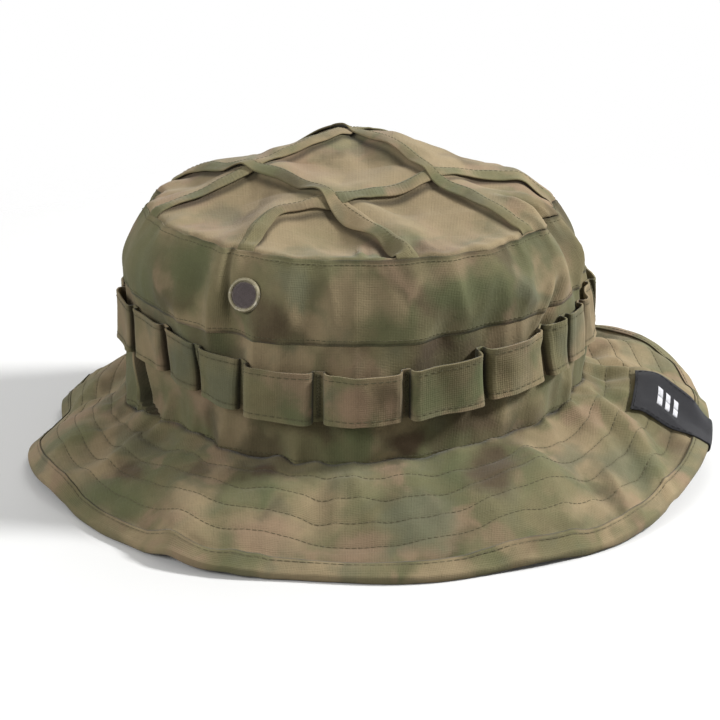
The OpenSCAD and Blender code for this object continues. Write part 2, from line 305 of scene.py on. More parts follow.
def wall_folds(t, u):
    """Height of the wall's folds over its plain shape, and the painted shade and highlight that go with them.
    """
    t, u = np.broadcast_arrays(np.asarray(t, float), np.asarray(u, float))
    z = u * WALL_TALL
    high = smooth(u, 0.66, 0.9)
    lift = 0.75 * waves(ring_points(t, z, 0.7), 0.045, 3)
    lift += 0.42 * waves(ring_points(t, z, 0.16), 0.009, 5) * (0.25 + 0.75 * smooth(u, 0.8, 1))
    lift += 0.3 * waves(ring_points(t, z, 0.3), 0.0042, 7) * smooth(u, 0.88, 1)
    crumple = 2.1 * creases(ring_points(t, z, 0.55), 0.03, 13)
    crumple += 1.5 * creases(ring_points(t, z, 0.5), 0.014, 14)
    lift += crumple * (1 - 0.55 * smooth(u, 0.82, 1))
    seams = 1 - smooth(u, 0.02, 0.24) + 0.6 * hump(u - BAND_SPLIT, 0.07) + 0.8 * smooth(u, 0.84, 1)
    lift += 0.6 * creases(ring_points(t, z, 0.12), 0.0075, 15) * seams
    # the crown is full at the front and pulled in by the elastic at the back
    lift += 2.2 * bell(t, -82, 40) * smooth(u, 0.45, 0.75) - 3.2 * bell(t, 92, 34) * smooth(u, 0.35, 0.8)
    # the fold that hangs from the top seam in front of the vent
    fold = turn(t, -33.5 + 3 * (1 - u) / (1 - BAND_SPLIT))
    hang = smooth(u, 0.62, 0.8)
    lift += (-2.3 * hump(fold, 1.1) + 0.9 * hump(fold + 3.2, 2.2)) * hang
    lift += 0.5 * hump(fold - 2.6, 1.6) * hang * (1 - smooth(u, 0.84, 0.9) * 0.6)
    # folds where the crown is squeezed at its back corners
    for at, height, wide, low in [
        (61, 2.8, 3.0, 0.5),
        (67.5, -3.2, 3.2, 0.45),
        (75, 1.8, 3.5, 0.5),
        (84, -1.8, 4, 0.5),
        (-84, 1.5, 3.5, 0.55),
        (-92, -1.6, 4, 0.5),
        (-104, 1.4, 5, 0.5),
        (118, 1.9, 4, 0.5),
        (127, -2, 4, 0.45),
        (161, 1.5, 5, 0.6),
        (203, -1.6, 4, 0.6),
        (226, 1.7, 4, 0.55),
        (250, -1.4, 4, 0.6),
    ]:
        lift += height * bell(t, at, wide) * smooth(u, low, low + 0.28)
    # a slanting crease from the loops towards the back
    crease = turn(t, 43 + 30 * (u - 0.36))
    slant = smooth(u, 0.4, 0.5) * (1 - smooth(u, 0.68, 0.84))
    lift += (1.9 * hump(crease, 1.6) - 2.4 * hump(crease - 3.6, 2)) * slant
    # gathers over the elastic, and the pleat below the loops
    gather = bell(t, 90, 42) ** 0.7 * smooth(np.abs(turn(t, 90)), 60, 25)
    low = 1 - smooth(u, 0.2, 0.5)
    lift += 1.0 * waves(ring_points(t, z, 0.12), 0.0046, 11) * gather * low
    lift += 0.35 * waves(ring_points(t, z, 0.3), 0.012, 12) * low
    pleat = turn(t, slit_turn(u))
    open_part = 1 - smooth(u, 0.27, 0.36)
    lift += (-4.0 * hump(pleat, 1.25, 4) + 1.8 * hump(pleat + 2.9, 1.5)) * open_part
    # the upper band's folded edge laps over the lower band. Painted shade: a shadow line under that edge, in
    # the pleat's slit, along the hanging fold and at both seams; the folds are painted paler where they stand
    # out and darker where they sink in
    tall = WALL_TALL / MM
    seam = (u - BAND_SPLIT) * tall
    dark = -0.65 * hump(seam, 0.6)
    dark += -1.8 * hump(pleat + 0.8, 1.35, 6) * open_part
    dark += -0.35 * hump(fold, 1.3) * hang
    dark += -0.4 * hump(u * tall, 0.8) - 0.45 * hump((1 - u) * tall, 0.7)
    dark += 0.26 * np.clip(lift, -1.2, 1.4) * (0.55 + 0.45 * high)
    return lift * MM, dark


def wall(t, u, off=0.0):
    """Points of the crown's wall: u runs from the brim seam to the top seam."""
    lift, _ = wall_folds(t, u)
    x, y = plan(t, off - turned_in(u) + lift)
    return point(x, y, wall_z(t, u))


def sweatband(t, u, inset):
    """Points on the sweatband, which stands further in over the elastic at the back."""
    room = 0.95 * MM * (1 - np.minimum(1, np.abs(turn(t, 90)) / 60) ** 4)
    pushed = np.minimum(wall_folds(t, u)[0], 0)
    x, y = plan(t, pushed - inset - turned_in(u) - room)
    return point(x, y, wall_z(t, u) + 0.2 * MM)


# ---------------------------------------------------------------- the brim


def edge_z(t):
    """Height of the brim's edge. The two great lifts at its back follow the size of the brim's curl."""
    most = max(height for _, height, _ in LIFTS)
    z = HEM_OUT
    for at, height, wide in LIFTS:
        rise = sizes().brim_curl * height / most if height > 5 else height * MM
        z = z + rise * bell(t, at, wide)
    return z


def reach(t):
    """How far the brim's edge stands out from the seam, in plan."""
    s = sizes()
    wide = around(s.brim_front, s.brim_side, s.brim_back, t)
    flat = np.sqrt(wide**2 - (seam_z(t) - edge_z(t)) ** 2)
    return flat - sum(loss * MM * bell(t, at, width) for at, loss, width in FOLDS)


def brim_z(t, w):
    """Height of the brim's plain shape at a share of its width."""
    rise = 4 * sizes().brim_bow * w * (1 - w)
    return seam_z(t) + (edge_z(t) - seam_z(t)) * w + rise


def hem_row(inset):
    """Share of the brim's width at a distance inside the hem's inner edge."""
    return 1 - (sizes().hem_width + inset) / BRIM_WIDE


def brim_folds(t, v):
    """Height of the brim's folds and quilting over its plain shape, and the painted shade and highlight that
    go with them, with some wear along the crests.
    """
    t, v = np.broadcast_arrays(np.asarray(t, float), np.asarray(v, float))
    w = np.clip(v, 0, 1)
    out = w * 0.055
    lift = 1.8 * waves(ring_points(t, out, 0.8), 0.034, 21) * smooth(w, 0, 0.3)
    lift += 0.38 * waves(ring_points(t, out, 0.25), 0.0075, 23)
    lift += 0.16 * waves(ring_points(t, out, 0.5), 0.0036, 24)
    ridge_light_and_wear = np.zeros_like(lift)
    # ridges and hollows that run from the crown to the edge: angles at the seam and at the edge
    for inner, outer, height, wide, start, end in [
        (-56, -58, 3.4, 5.0, 0.04, 0.3),
        (-70, -69, -2.2, 6.0, 0.05, 0.4),
        (72, 58.5, 4.0, 4.5, 0.0, 0.25),
        (63, 50, 1.8, 3.5, 0.15, 0.5),
        (82, 87, 8.0, 7.5, 0.1, 0.6),
        (97, 101, 2.2, 5.0, 0.0, 0.3),
        (128, 131, 2.4, 5.0, 0.1, 0.4),
        (152, 150, 3.0, 6.0, 0.1, 0.5),
        (186, 190, 2.0, 7.0, 0.1, 0.5),
        (214, 211, 2.6, 5.0, 0.1, 0.4),
        (244, 247, 2.0, 6.0, 0.1, 0.4),
        (22, 25, 1.1, 5.0, 0.2, 0.6),
    ]:
        line = crest(t, inner + (outer - inner) * w**1.3, wide) * smooth(w, start, end)
        lift += height * line
        # crests are painted paler, partly worn and partly painted highlight, and hollows darker with painted
        # shade
        ridge_light_and_wear += 0.16 * np.sign(height) * line**3
    for inner, outer, height, wide in [(66.5, 54.5, -2.6, 3.0), (75, 66, -2.8, 4), (94, 98, -2.5, 5)]:
        lift += height * bell(t, inner + (outer - inner) * w**1.3, wide) * smooth(w, 0.02, 0.3)
    lift += 2.6 * waves(ring_points(t, out, 0.35), 0.022, 29) * smooth(w, 0.1, 0.4)
    lift += 2.4 * creases(ring_points(t, out, 0.5), 0.027, 43) * smooth(w, 0, 0.2)
    lift += 1.2 * creases(ring_points(t, out, 0.6), 0.012, 44)
    short = smooth(w, 0.05, 0.3) * (1 - smooth(w, 0.5, 0.75))
    lift += (2.0 * crest(t, -4, 2) - 2.6 * bell(t, -7.5, 3)) * short
    lift += -2.2 * bell(t, -59, 2.2) * (1 - smooth(w, 0.06, 0.22))
    gather = smooth(np.abs(turn(t, 88)), 52, 20)
    lift += 1.3 * waves(ring_points(t, out, 0.15), 0.0055, 27) * gather * (1 - smooth(w, 0.12, 0.5))
    # the edge stands on the floor, so that only raised folds reach it
    lift = np.where(lift < 0, lift * (1 - smooth(w, 0.7, 0.97)), lift * (1 - 0.45 * smooth(w, 0.85, 1)))
    # quilting rows pull the cloth down, and it puffs up between them; painted shade darkens each row's groove
    rows, dark = np.zeros_like(lift), np.zeros_like(lift)
    far = reach(t) / MM
    beside_hem = 1 - (sizes().hem_width / MM + 1.6) / far
    for at in [*QUILTING, beside_hem]:
        gone = (w - at) * far
        rows -= 0.35 * hump(gone, 1.2)
        dark -= 0.14 * hump(gone, 0.6)
    # painted shade where the brim meets the crown; the folds are painted paler where raised and darker where
    # sunk
    dark -= 0.5 * hump(w * far, 1.1)
    return lift * MM, rows * MM, dark + ridge_light_and_wear + 0.15 * np.clip(lift, -1.6, 1.6)


def brim(t, v, off=0.0, quilt=1.0):
    """Points of the brim: v runs from the seam to the edge, and off stands above its middle layer."""
    w = np.minimum(v, 1)
    lift, rows, _ = brim_folds(t, v)
    seam_lift, _ = wall_folds(t, 0.0)
    inner = (seam_lift - 0.3 * MM) * (1 - w) ** 4
    x, y = plan(t, inner + reach(t) * v)
    return point(x, y, brim_z(t, w) + off + lift + rows * quilt)


# ---------------------------------------------------------------- the crown's top


def along_tuck(name, count=200):
    """Places along one tuck, and the direction towards its free edge at each, in plan."""
    corners = np.array(TUCKS[name], float) * MM
    ends = np.vstack([2 * corners[0] - corners[1], corners, 2 * corners[-1] - corners[-2]])
    parts = []
    for k in range(len(corners) - 1):
        p0, p1, p2, p3 = ends[k : k + 4]
        s = np.linspace(0, 1, 24, endpoint=False)[:, None]
        bend, twist = 2 * p0 - 5 * p1 + 4 * p2 - p3, 3 * p1 - p0 - 3 * p2 + p3
        parts.append(0.5 * (2 * p1 + (p2 - p0) * s + bend * s**2 + twist * s**3))
    line = np.vstack([*parts, corners[-1:]])
    run = lengths(line)
    even = np.linspace(0, run[-1], count)
    line = np.stack([np.interp(even, run, line[:, k]) for k in (0, 1)], -1)
    way = unit(np.gradient(line, axis=0))
    return line, np.stack([way[:, 1], -way[:, 0]], -1)


def rim_plan():
    """Angles round the top seam, with the bearing and distance of each place from the crown's middle."""
    t = np.arange(-180, 180.5, 0.5)
    x, y = plan(t, -turned_in(1.0))
    x, y = x - MIDDLE.x, y - MIDDLE.y
    return t, np.unwrap(np.arctan2(y, x)), np.hypot(x, y)


def dome_place(x, y):
    """Angle and share of the way to the top seam of a plan position on the crown's top."""
    t, way, far = rim_plan()
    at = np.arctan2(y, x)
    at = np.where(at < way[0], at + 2 * math.pi, np.where(at > way[-1], at - 2 * math.pi, at))
    return np.interp(at, way, t), np.hypot(x, y) / np.interp(at, way, far)


def nearest(line, side, x, y):
    """Signed distance to a tuck, which is positive on its free edge's side, and the share along it."""
    flat = np.stack([np.ravel(x), np.ravel(y)], -1)
    found, share = np.empty(len(flat)), np.empty(len(flat))
    batch = 4000
    for start in range(0, len(flat), batch):
        gap = flat[start : start + batch, None, :] - line[None]
        far = (gap**2).sum(-1)
        k = far.argmin(1)
        rows = np.arange(len(k))
        lean = (gap[rows, k] * side[k]).sum(-1)
        found[start : start + batch] = np.sqrt(far[rows, k]) * np.where(lean < 0, -1, 1)
        share[start : start + batch] = k / (len(line) - 1)
    return found.reshape(np.shape(x)), share.reshape(np.shape(x))


def dome(x, y):
    """Height of the crown's top at a plan position from its middle, and the painted shade and highlight on
    it.
    """
    s = sizes()
    t, q = dome_place(x, y)
    q = np.clip(q, 0, 1)
    fall = 1 - q * q
    c = np.cos(np.radians(t))
    base = rim_z(t) * q * q + s.rim_side * fall + fall * (s.dome_rise - s.dome_lean * q * c) + 1.4 * MM
    flat = np.stack([x, y, np.zeros_like(x)], -1)
    ridge, near = np.zeros_like(base), np.full_like(base, 1.0)
    dark = np.zeros_like(base)
    for name in TUCKS:
        line, side = along_tuck(name)
        gap, share = nearest(line, side, x, y)
        gap = gap / MM
        held = smooth(share, 0, 0.1) * (1 - smooth(share, 0.9, 1))
        rise = np.where(gap < 0, hump(gap, 9), hump(gap, 4))
        ridge = np.hypot(ridge, 1.8 * rise * (0.35 + 0.65 * held))
        near = np.minimum(near, np.abs(gap + 2) / 40)
        # a painted shadow under each tuck's free edge
        dark -= 0.8 * hump(gap - 6.5, 1.7) * held
    sag = -3.4 * smooth(near * 40, 3, 20) * (1 - q**5)
    lift = ridge * (1 - q**8) + sag
    lift += s.peak_rise / MM * np.exp(-(((x + 0.035) ** 2 + (y + 0.003) ** 2) / 0.022**2))
    lift += 1.5 * waves(flat, 0.022, 31) * (1 - q**6)
    lift += (0.45 * waves(flat, 0.0095, 33) + 1.2 * creases(flat, 0.026, 45)) * (1 - q**6)
    lift += 3 * bell(t, 72, 34) * hump(q - 0.8, 0.22)
    # puckers that the top seam draws into the cloth
    reach_in = smooth(q, 0.72, 1)
    lift += 0.8 * waves(ring_points(t, q * 0.08, 0.2), 0.0062, 35) * reach_in * (1 - 0.7 * smooth(q, 0.93, 1))
    for at, height, wide, start in [
        (1, 2.4, 1.6, 0.7),
        (8.5, -2.4, 2.4, 0.7),
        (14, 1.2, 2.5, 0.75),
        (63, 2.2, 2.2, 0.65),
        (68.5, -2.4, 2.2, 0.65),
        (75, 1.8, 3.0, 0.65),
        (-30, -1.4, 2.0, 0.8),
        (-63, 1.2, 3.0, 0.8),
        (120, 1.6, 3.0, 0.7),
        (163, -1.5, 3.0, 0.7),
        (215, 1.5, 3.0, 0.7),
    ]:
        lift += height * bell(t, at, wide) * smooth(q, start, 0.9) * (1 - smooth(q, 0.92, 0.995))
    lift -= 0.9 * hump((1 - q) * 80, 1.6)
    # painted shade along the top seam, and painted light and shade that follow the cloth's lift
    dark -= 0.3 * hump((1 - q) * 80, 0.8)
    dark += 0.08 * np.clip(lift, -2, 2)
    return base + lift * MM, dark


def top_cloth(x, y, off=0.0):
    """Points of the crown's top over a plan position from its middle. The rim follows the wall's folds."""
    z, dark = dome(x, y)
    t, q = dome_place(x, y)
    lift, _ = wall_folds(t, 1.0)
    there, plain = plan(t, lift - turned_in(1.0)), plan(t, -turned_in(1.0))
    follow = np.minimum(q, 1) * smooth(q, 0.7, 1)
    x, y = (place + MIDDLE[k] + (there[k] - plain[k]) * follow for k, place in enumerate((x, y)))
    return point(x, y, z + off), dark


# ---------------------------------------------------------------- meshes


def build(name, verts, faces, cloth=None, shade=None, material=None, thickness=0.0):
    """A smooth mesh piece that rides on the hat. cloth is a UV place in metres for each corner."""
    mesh = bpy.data.meshes.new(name)
    mesh.from_pydata(np.asarray(verts, float).tolist(), [], [list(map(int, f)) for f in faces])
    mesh.polygons.foreach_set("use_smooth", [True] * len(mesh.polygons))
    if cloth is not None:
        layer = mesh.uv_layers.new(name="cloth")
        layer.uv.foreach_set("vector", np.asarray(cloth, np.float32).ravel())
    # painted shade, painted highlight and wear for the cloth materials to read, one value for each corner
    if shade is not None:
        found = mesh.attributes.new("painted_light_and_wear", "FLOAT", "POINT")
        found.data.foreach_set("value", np.asarray(shade, np.float32).ravel())
    mesh.validate(clean_customdata=False)
    mesh.update()
    piece = bpy.data.objects.new(name, mesh)
    bpy.context.scene.collection.objects.link(piece)
    mesh.materials.append(material)
    if thickness:
        solid = piece.modifiers.new("Cloth thickness", "SOLIDIFY")
        solid.thickness = thickness
        solid.offset = -1
    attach(piece, "root")
    return piece


def sheet(name, points, cloth, shade, material, thickness, closed=True, flip=False, keep=None, cap=None):
    """A sheet through rows of points. closed joins the last column to the first, and a flipped sheet's
    first row may close on a middle point, cap."""
    rows, cols = points.shape[:2]
    i, j = np.meshgrid(np.arange(rows - 1), np.arange(cols if closed else cols - 1), indexing="ij")
    if keep is not None:
        i, j = i[keep], j[keep]
    i, j = i.ravel(), j.ravel()
    corners = [(i, j), (i, j + 1), (i + 1, j + 1), (i + 1, j)]
    if flip:
        corners = corners[::-1]
    faces = np.stack([a * cols + b % cols for a, b in corners], -1)
    places = np.stack([cloth[a, b] for a, b in corners], 1).reshape(-1, 2)
    verts, shades = points.reshape(-1, 3), np.broadcast_to(shade, (rows, cols)).ravel()
    faces = faces.tolist()
    if cap is not None:
        verts, shades = np.vstack([verts, cap[None]]), np.append(shades, shades[0])
        k = np.arange(cols)
        faces += np.stack([k, (k + 1) % cols, np.full(cols, len(verts) - 1)], -1).tolist()
        around_cap = np.stack([cloth[0, k], cloth[0, k + 1], np.zeros((cols, 2))], 1).reshape(-1, 2)
        places = np.vstack([places, around_cap])
    return build(name, verts, faces, places, shades, material, thickness)


def columns(step, *finer):
    """Angles all the way round, closer together in the given ranges of (from, to, step)."""
    angles = np.arange(-180, 180, step)
    for low, high, small in finer:
        angles = angles[(angles < low) | (angles > high)]
        angles = np.concatenate([angles, np.arange(low, high + small / 2, small)])
    return np.unique(np.round(angles, 4))


def ring_cloth(t, rise, radius=0.094):
    """UV places for a ring: the angles as a length, and a rise for each row."""
    angles = np.append(t, t[0] + 360)
    across, up = np.meshgrid(np.radians(angles) * radius, rise)
    return np.stack([across, up], -1)


def threads(starts, ends, normals, radius):
    """Corners and faces of stitches, each of which dips into the cloth at both ends."""
    way = ends - starts
    long = np.linalg.norm(way, axis=1, keepdims=True)
    way = way / np.maximum(long, 1e-9)
    side = np.cross(way, normals)
    side /= np.maximum(np.linalg.norm(side, axis=1, keepdims=True), 1e-9)
    up = np.cross(side, way)
    verts = []
    for share, lift, wide in ((0, -0.9, 0.7), (0.16, 0.45, 1), (0.84, 0.45, 1), (1, -0.9, 0.7)):
        centre = starts + way * long * share + up * lift * radius
        for a, b in ((1, 0), (0, 1), (-1, 0), (0, -1)):
            verts.append(centre + (side * a + up * b) * radius * wide)
    verts = np.stack(verts, 1)
    one = [[0, 1, 2, 3], [15, 14, 13, 12]]
    for s in range(3):
        for k in range(4):
            one.append([s * 4 + k, (s + 1) * 4 + k, (s + 1) * 4 + (k + 1) % 4, s * 4 + (k + 1) % 4])
    base = np.arange(len(starts))[:, None, None] * 16
    return verts.reshape(-1, 3), (np.array(one)[None] + base).reshape(-1, 4)


def stitch_row(path, normals, stitch=2.3 * MM, gap=0.7 * MM, closed=True):
    """Starts, ends and normals of the stitches along a path on the cloth."""
    if closed:
        path, normals = np.vstack([path, path[:1]]), np.vstack([normals, normals[:1]])
    run = lengths(path)
    count = max(1, int(run[-1] / (stitch + gap)))
    pitch = run[-1] / count
    first = (np.arange(count) + 0.1) * pitch
    last = first + stitch * pitch / (stitch + gap)

    def at(places, values):
        return np.stack([np.interp(places, run, values[:, k]) for k in range(3)], -1)

    return at(first, path), at(np.minimum(last, run[-1]), path), at((first + last) / 2, normals)


def sew(name, rows, material, radius=None):
    """One piece for several rows of stitches."""
    verts, faces = threads(*(np.vstack(part) for part in zip(*rows)), radius or sizes().thread)
    piece = build(name, verts, faces, material=material)
    return piece


def surface_row(place, t, *args):
    """Points and normals of a row at the angles t; place gives points for angles, a row and a height."""
    here = place(t, *args)
    ahead = place(t + 0.2, *args)
    wide = list(args)
    wide[0] = wide[0] + 0.004
    up = place(t, *wide)
    return here, unit(np.cross(ahead - here, up - here))


# ---------------------------------------------------------------- materials


class Wire:
    """An output socket of a shader node. Arithmetic on it adds Math nodes."""

    def __init__(self, paint, socket):
        self.paint, self.socket = paint, socket

    def _math(self, operation, a, b=0.0):
        return self.paint.node("ShaderNodeMath", {"operation": operation}, {0: a, 1: b})

    def __add__(self, other):
        return self._math("ADD", self, other)

    def __radd__(self, other):
        return self._math("ADD", other, self)

    def __sub__(self, other):
        return self._math("SUBTRACT", self, other)

    def __rsub__(self, other):
        return self._math("SUBTRACT", other, self)

    def __mul__(self, other):
        return self._math("MULTIPLY", self, other)

    def __rmul__(self, other):
        return self._math("MULTIPLY", other, self)

    def sine(self):
        """The sine of an angle in radians."""
        return self._math("SINE", self)

    def size(self):
        """The value without its sign."""
        return self._math("ABSOLUTE", self)

    def step(self, low, high):
        """0 below low, 1 above high, and an even rise between them."""
        sockets = {"Value": self, "From Min": low, "From Max": high}
        return self.paint.node("ShaderNodeMapRange", {"interpolation_type": "SMOOTHSTEP"}, sockets)


class Paint:
    """A material whose nodes are added by type, with settings first and sockets after them."""

    def __init__(self, name):
        self.material = bpy.data.materials.new(name)
        self.material.use_nodes = True
        self.tree = self.material.node_tree
        self.shader = self.tree.nodes["Principled BSDF"]

    def node(self, kind, settings=None, sockets=None, out=0):
        made = self.tree.nodes.new(kind)
        for key, value in (settings or {}).items():
            setattr(made, key, value)
        for key, value in (sockets or {}).items():
            self.feed(made.inputs[key], value)
        return Wire(self, made.outputs[out])

    def feed(self, socket, value):
        if isinstance(value, Wire):
            self.tree.links.new(value.socket, socket)
        else:
            socket.default_value = value

    def set(self, **values):
        for key, value in values.items():
            self.feed(self.shader.inputs[key.replace("_", " ")], value)

    def vector(self, operation, *values, out=0):
        return self.node("ShaderNodeVectorMath", {"operation": operation}, dict(enumerate(values)), out)

    def place(self, offset=(0, 0, 0), stretch=(1, 1, 1)):
        """Place on the hat, moved and stretched."""
        here = self.node("ShaderNodeTexCoord", out="Object")
        return self.vector("MULTIPLY", self.vector("ADD", here, offset), stretch)

    def cloth(self):
        """Place on the flat cloth in metres, across and along."""
        flat = self.node("ShaderNodeUVMap", {"uv_map": "cloth"})
        both = self.tree.nodes.new("ShaderNodeSeparateXYZ")
        self.feed(both.inputs[0], flat)
        return Wire(self, both.outputs[0]), Wire(self, both.outputs[1])

    def noise(self, place, size, detail=2.0, rough=0.5, out="Fac"):
        sockets = {"Vector": place, "Scale": 1 / size, "Detail": detail, "Roughness": rough}
        return self.node("ShaderNodeTexNoise", None, sockets, out)

    def mix(self, factor, a, b, blend="MIX"):
        settings = {"data_type": "RGBA", "blend_type": blend}
        return self.node("ShaderNodeMix", settings, {0: factor, 6: self.rgb(a), 7: self.rgb(b)}, 2)

    @staticmethod
    def rgb(value):
        return value if isinstance(value, Wire) else (*value, 1.0)

    def grey(self, value):
        """A colour that is the same in all three parts."""
        return self.node("ShaderNodeCombineColor", None, {0: value, 1: value, 2: value})

    def painted_light_and_wear(self):
        """Painted shade below 0, and paler places above 0, partly worn and partly painted highlight, at each
        place of the piece.
        """
        return self.node("ShaderNodeAttribute", {"attribute_name": "painted_light_and_wear"}, out="Fac")

    def bump(self, height, distance, strength=1.0, under=None):
        sockets = {"Height": height, "Distance": distance, "Strength": strength}
        if under is not None:
            sockets["Normal"] = under
        return self.node("ShaderNodeBump", None, sockets)


def weave(paint, pitch=0.62 * MM, ripstop=5.2 * MM):
    """Height of a plain weave with a grid of thicker threads, and how strongly that grid shows."""
    across, along = paint.cloth()
    turn_by = 2 * math.pi / pitch
    fine = (across * turn_by).sine() * 0.5 + (along * turn_by).sine() * 0.5
    grid = [((v * (math.pi / ripstop)).sine().size()).step(0.09, 0.0) for v in (across, along)]
    both = grid[0] + grid[1]
    return fine * 0.5 + 0.5 + both * 0.7, both


# Large patches of the print on each piece, one of which also paints a highlight and one a shade: angle, share
# of the piece, colour, radius in mm and strength
PATCHES = {
    "upper band": [
        (-62, 0.8, "green", 16, 0.6),
        (-53, 0.78, "rose", 5, 0.7),
        (-45, 0.9, "green", 15, 0.8),
        (-36, 0.72, "khaki", 9, 0.8),
        (-21, 0.71, "brown", 9, 0.85),
        (-14, 0.92, "grey_green", 7, 0.8),
        (-12, 0.76, "tan", 6, 0.8),
        (-2, 0.82, "tan", 9, 0.9),
        (6, 0.78, "tan", 8, 0.8),
        (18, 0.8, "brown", 8, 0.7),
        (25, 0.84, "green", 11, 0.9),
        (37, 0.76, "green", 9, 0.8),
        (46, 0.8, "grey_green", 8, 0.8),
        # this pale patch also stands for a painted highlight high on the band
        (54, 0.86, "tan", 6, 0.9),
        (76, 0.8, "khaki", 12, 0.8),
    ],
    "lower band": [
        (-56, 0.3, "tan", 8, 0.7),
        (-41, 0.24, "rose", 10, 0.8),
        (-30, 0.15, "tan", 8, 0.7),
        (-34, 0.6, "green", 9, 0.7),
        (-15, 0.11, "khaki", 10, 0.7),
        (-8, 0.58, "tan", 8, 0.6),
        (-1, 0.13, "green", 9, 0.9),
        (5, 0.58, "khaki", 8, 0.8),
        (12, 0.1, "brown", 8, 1.0),
        (18, 0.56, "brown", 9, 0.9),
        (28, 0.12, "brown", 8, 0.7),
        (36, 0.56, "tan", 6, 0.7),
        (38, 0.12, "tan", 7, 0.8),
        (50, 0.16, "green", 9, 0.7),
        (62, 0.2, "khaki", 10, 0.8),
    ],
    "loops": [
        (-62, 0.5, "tan", 7, 0.7),
        (-47, 0.5, "grey_green", 10, 0.9),
        (-32, 0.5, "grey_green", 9, 0.9),
        (-22, 0.5, "khaki", 7, 0.8),
        (-14, 0.5, "green", 7, 0.9),
        (-8, 0.5, "rose", 3, 0.9),
        (-1, 0.5, "rose", 9, 1.0),
        (7, 0.5, "rose", 5, 0.9),
        (17, 0.5, "green", 8, 0.9),
        (26, 0.5, "green", 8, 1.0),
        (38, 0.5, "khaki", 7, 0.8),
        (47, 0.5, "green", 7, 0.8),
        (60, 0.5, "grey_green", 8, 0.8),
    ],
    "brim": [
        (-83, 0.45, "rose", 9, 0.8),
        (-71, 0.65, "green", 12, 0.8),
        # this dark patch also stands for painted shade in a valley of the brim
        (-51, 0.5, "brown", 8, 0.8),
        (-48, 0.8, "green", 9, 0.7),
        (-44, 0.2, "green", 7, 0.8),
        (-37, 0.3, "brown", 6, 0.6),
        (-33, 0.62, "tan", 10, 0.9),
        (-31, 0.22, "tan", 6, 0.7),
        (-22, 0.2, "brown", 7, 1.0),
        (-19, 0.4, "green", 6, 0.9),
        (-16, 0.76, "rose", 11, 0.8),
        (-8, 0.4, "tan", 11, 0.9),
        (1, 0.75, "rose", 10, 0.7),
        (11, 0.55, "grey_green", 13, 0.9),
        (18, 0.85, "green", 8, 0.7),
        (22, 0.25, "green", 8, 0.8),
        (29, 0.3, "brown", 12, 0.9),
        (33, 0.75, "khaki", 9, 0.7),
        (42, 0.75, "tan", 9, 0.9),
        (46, 0.35, "grey_green", 8, 0.7),
        (58, 0.6, "grey_green", 14, 0.7),
        (70, 0.3, "tan", 9, 0.6),
        (96, 0.35, "tan", 12, 0.7),
        (110, 0.6, "green", 9, 0.6),
    ],
    "top": [
        (-27, 0.62, "tan", 18, 0.9),
        (-60, 0.75, "grey_green", 9, 0.6),
        (5, 0.55, "tan", 16, 0.9),
        (18, 0.92, "brown", 6, 0.6),
        (40, 0.62, "tan", 16, 0.9),
        (-5, 0.1, "tan", 16, 0.8),
        (66, 0.8, "grey_green", 9, 0.6),
        (120, 0.4, "tan", 18, 0.8),
    ],
}


def patches(name):
    """Places, colours, radii and strengths of one piece's large patches."""
    found = []
    for t, share, tint, radius, strength in PATCHES[name]:
        if name == "brim":
            here = brim(t, share)
        elif name == "top":
            x, y = plan(t, -turned_in(1.0))
            here = top_cloth(np.array([(x - MIDDLE.x) * share]), np.array([(y - MIDDLE.y) * share]))[0][0]
        elif name == "loops":
            x, y = plan(t, 4 * MM)
            here = point(x, y, loops_z(t) - sizes().loop_height * share)
        else:
            here = wall(t, share)
        found.append((here, getattr(colours(), tint), radius * MM, strength))
    return found


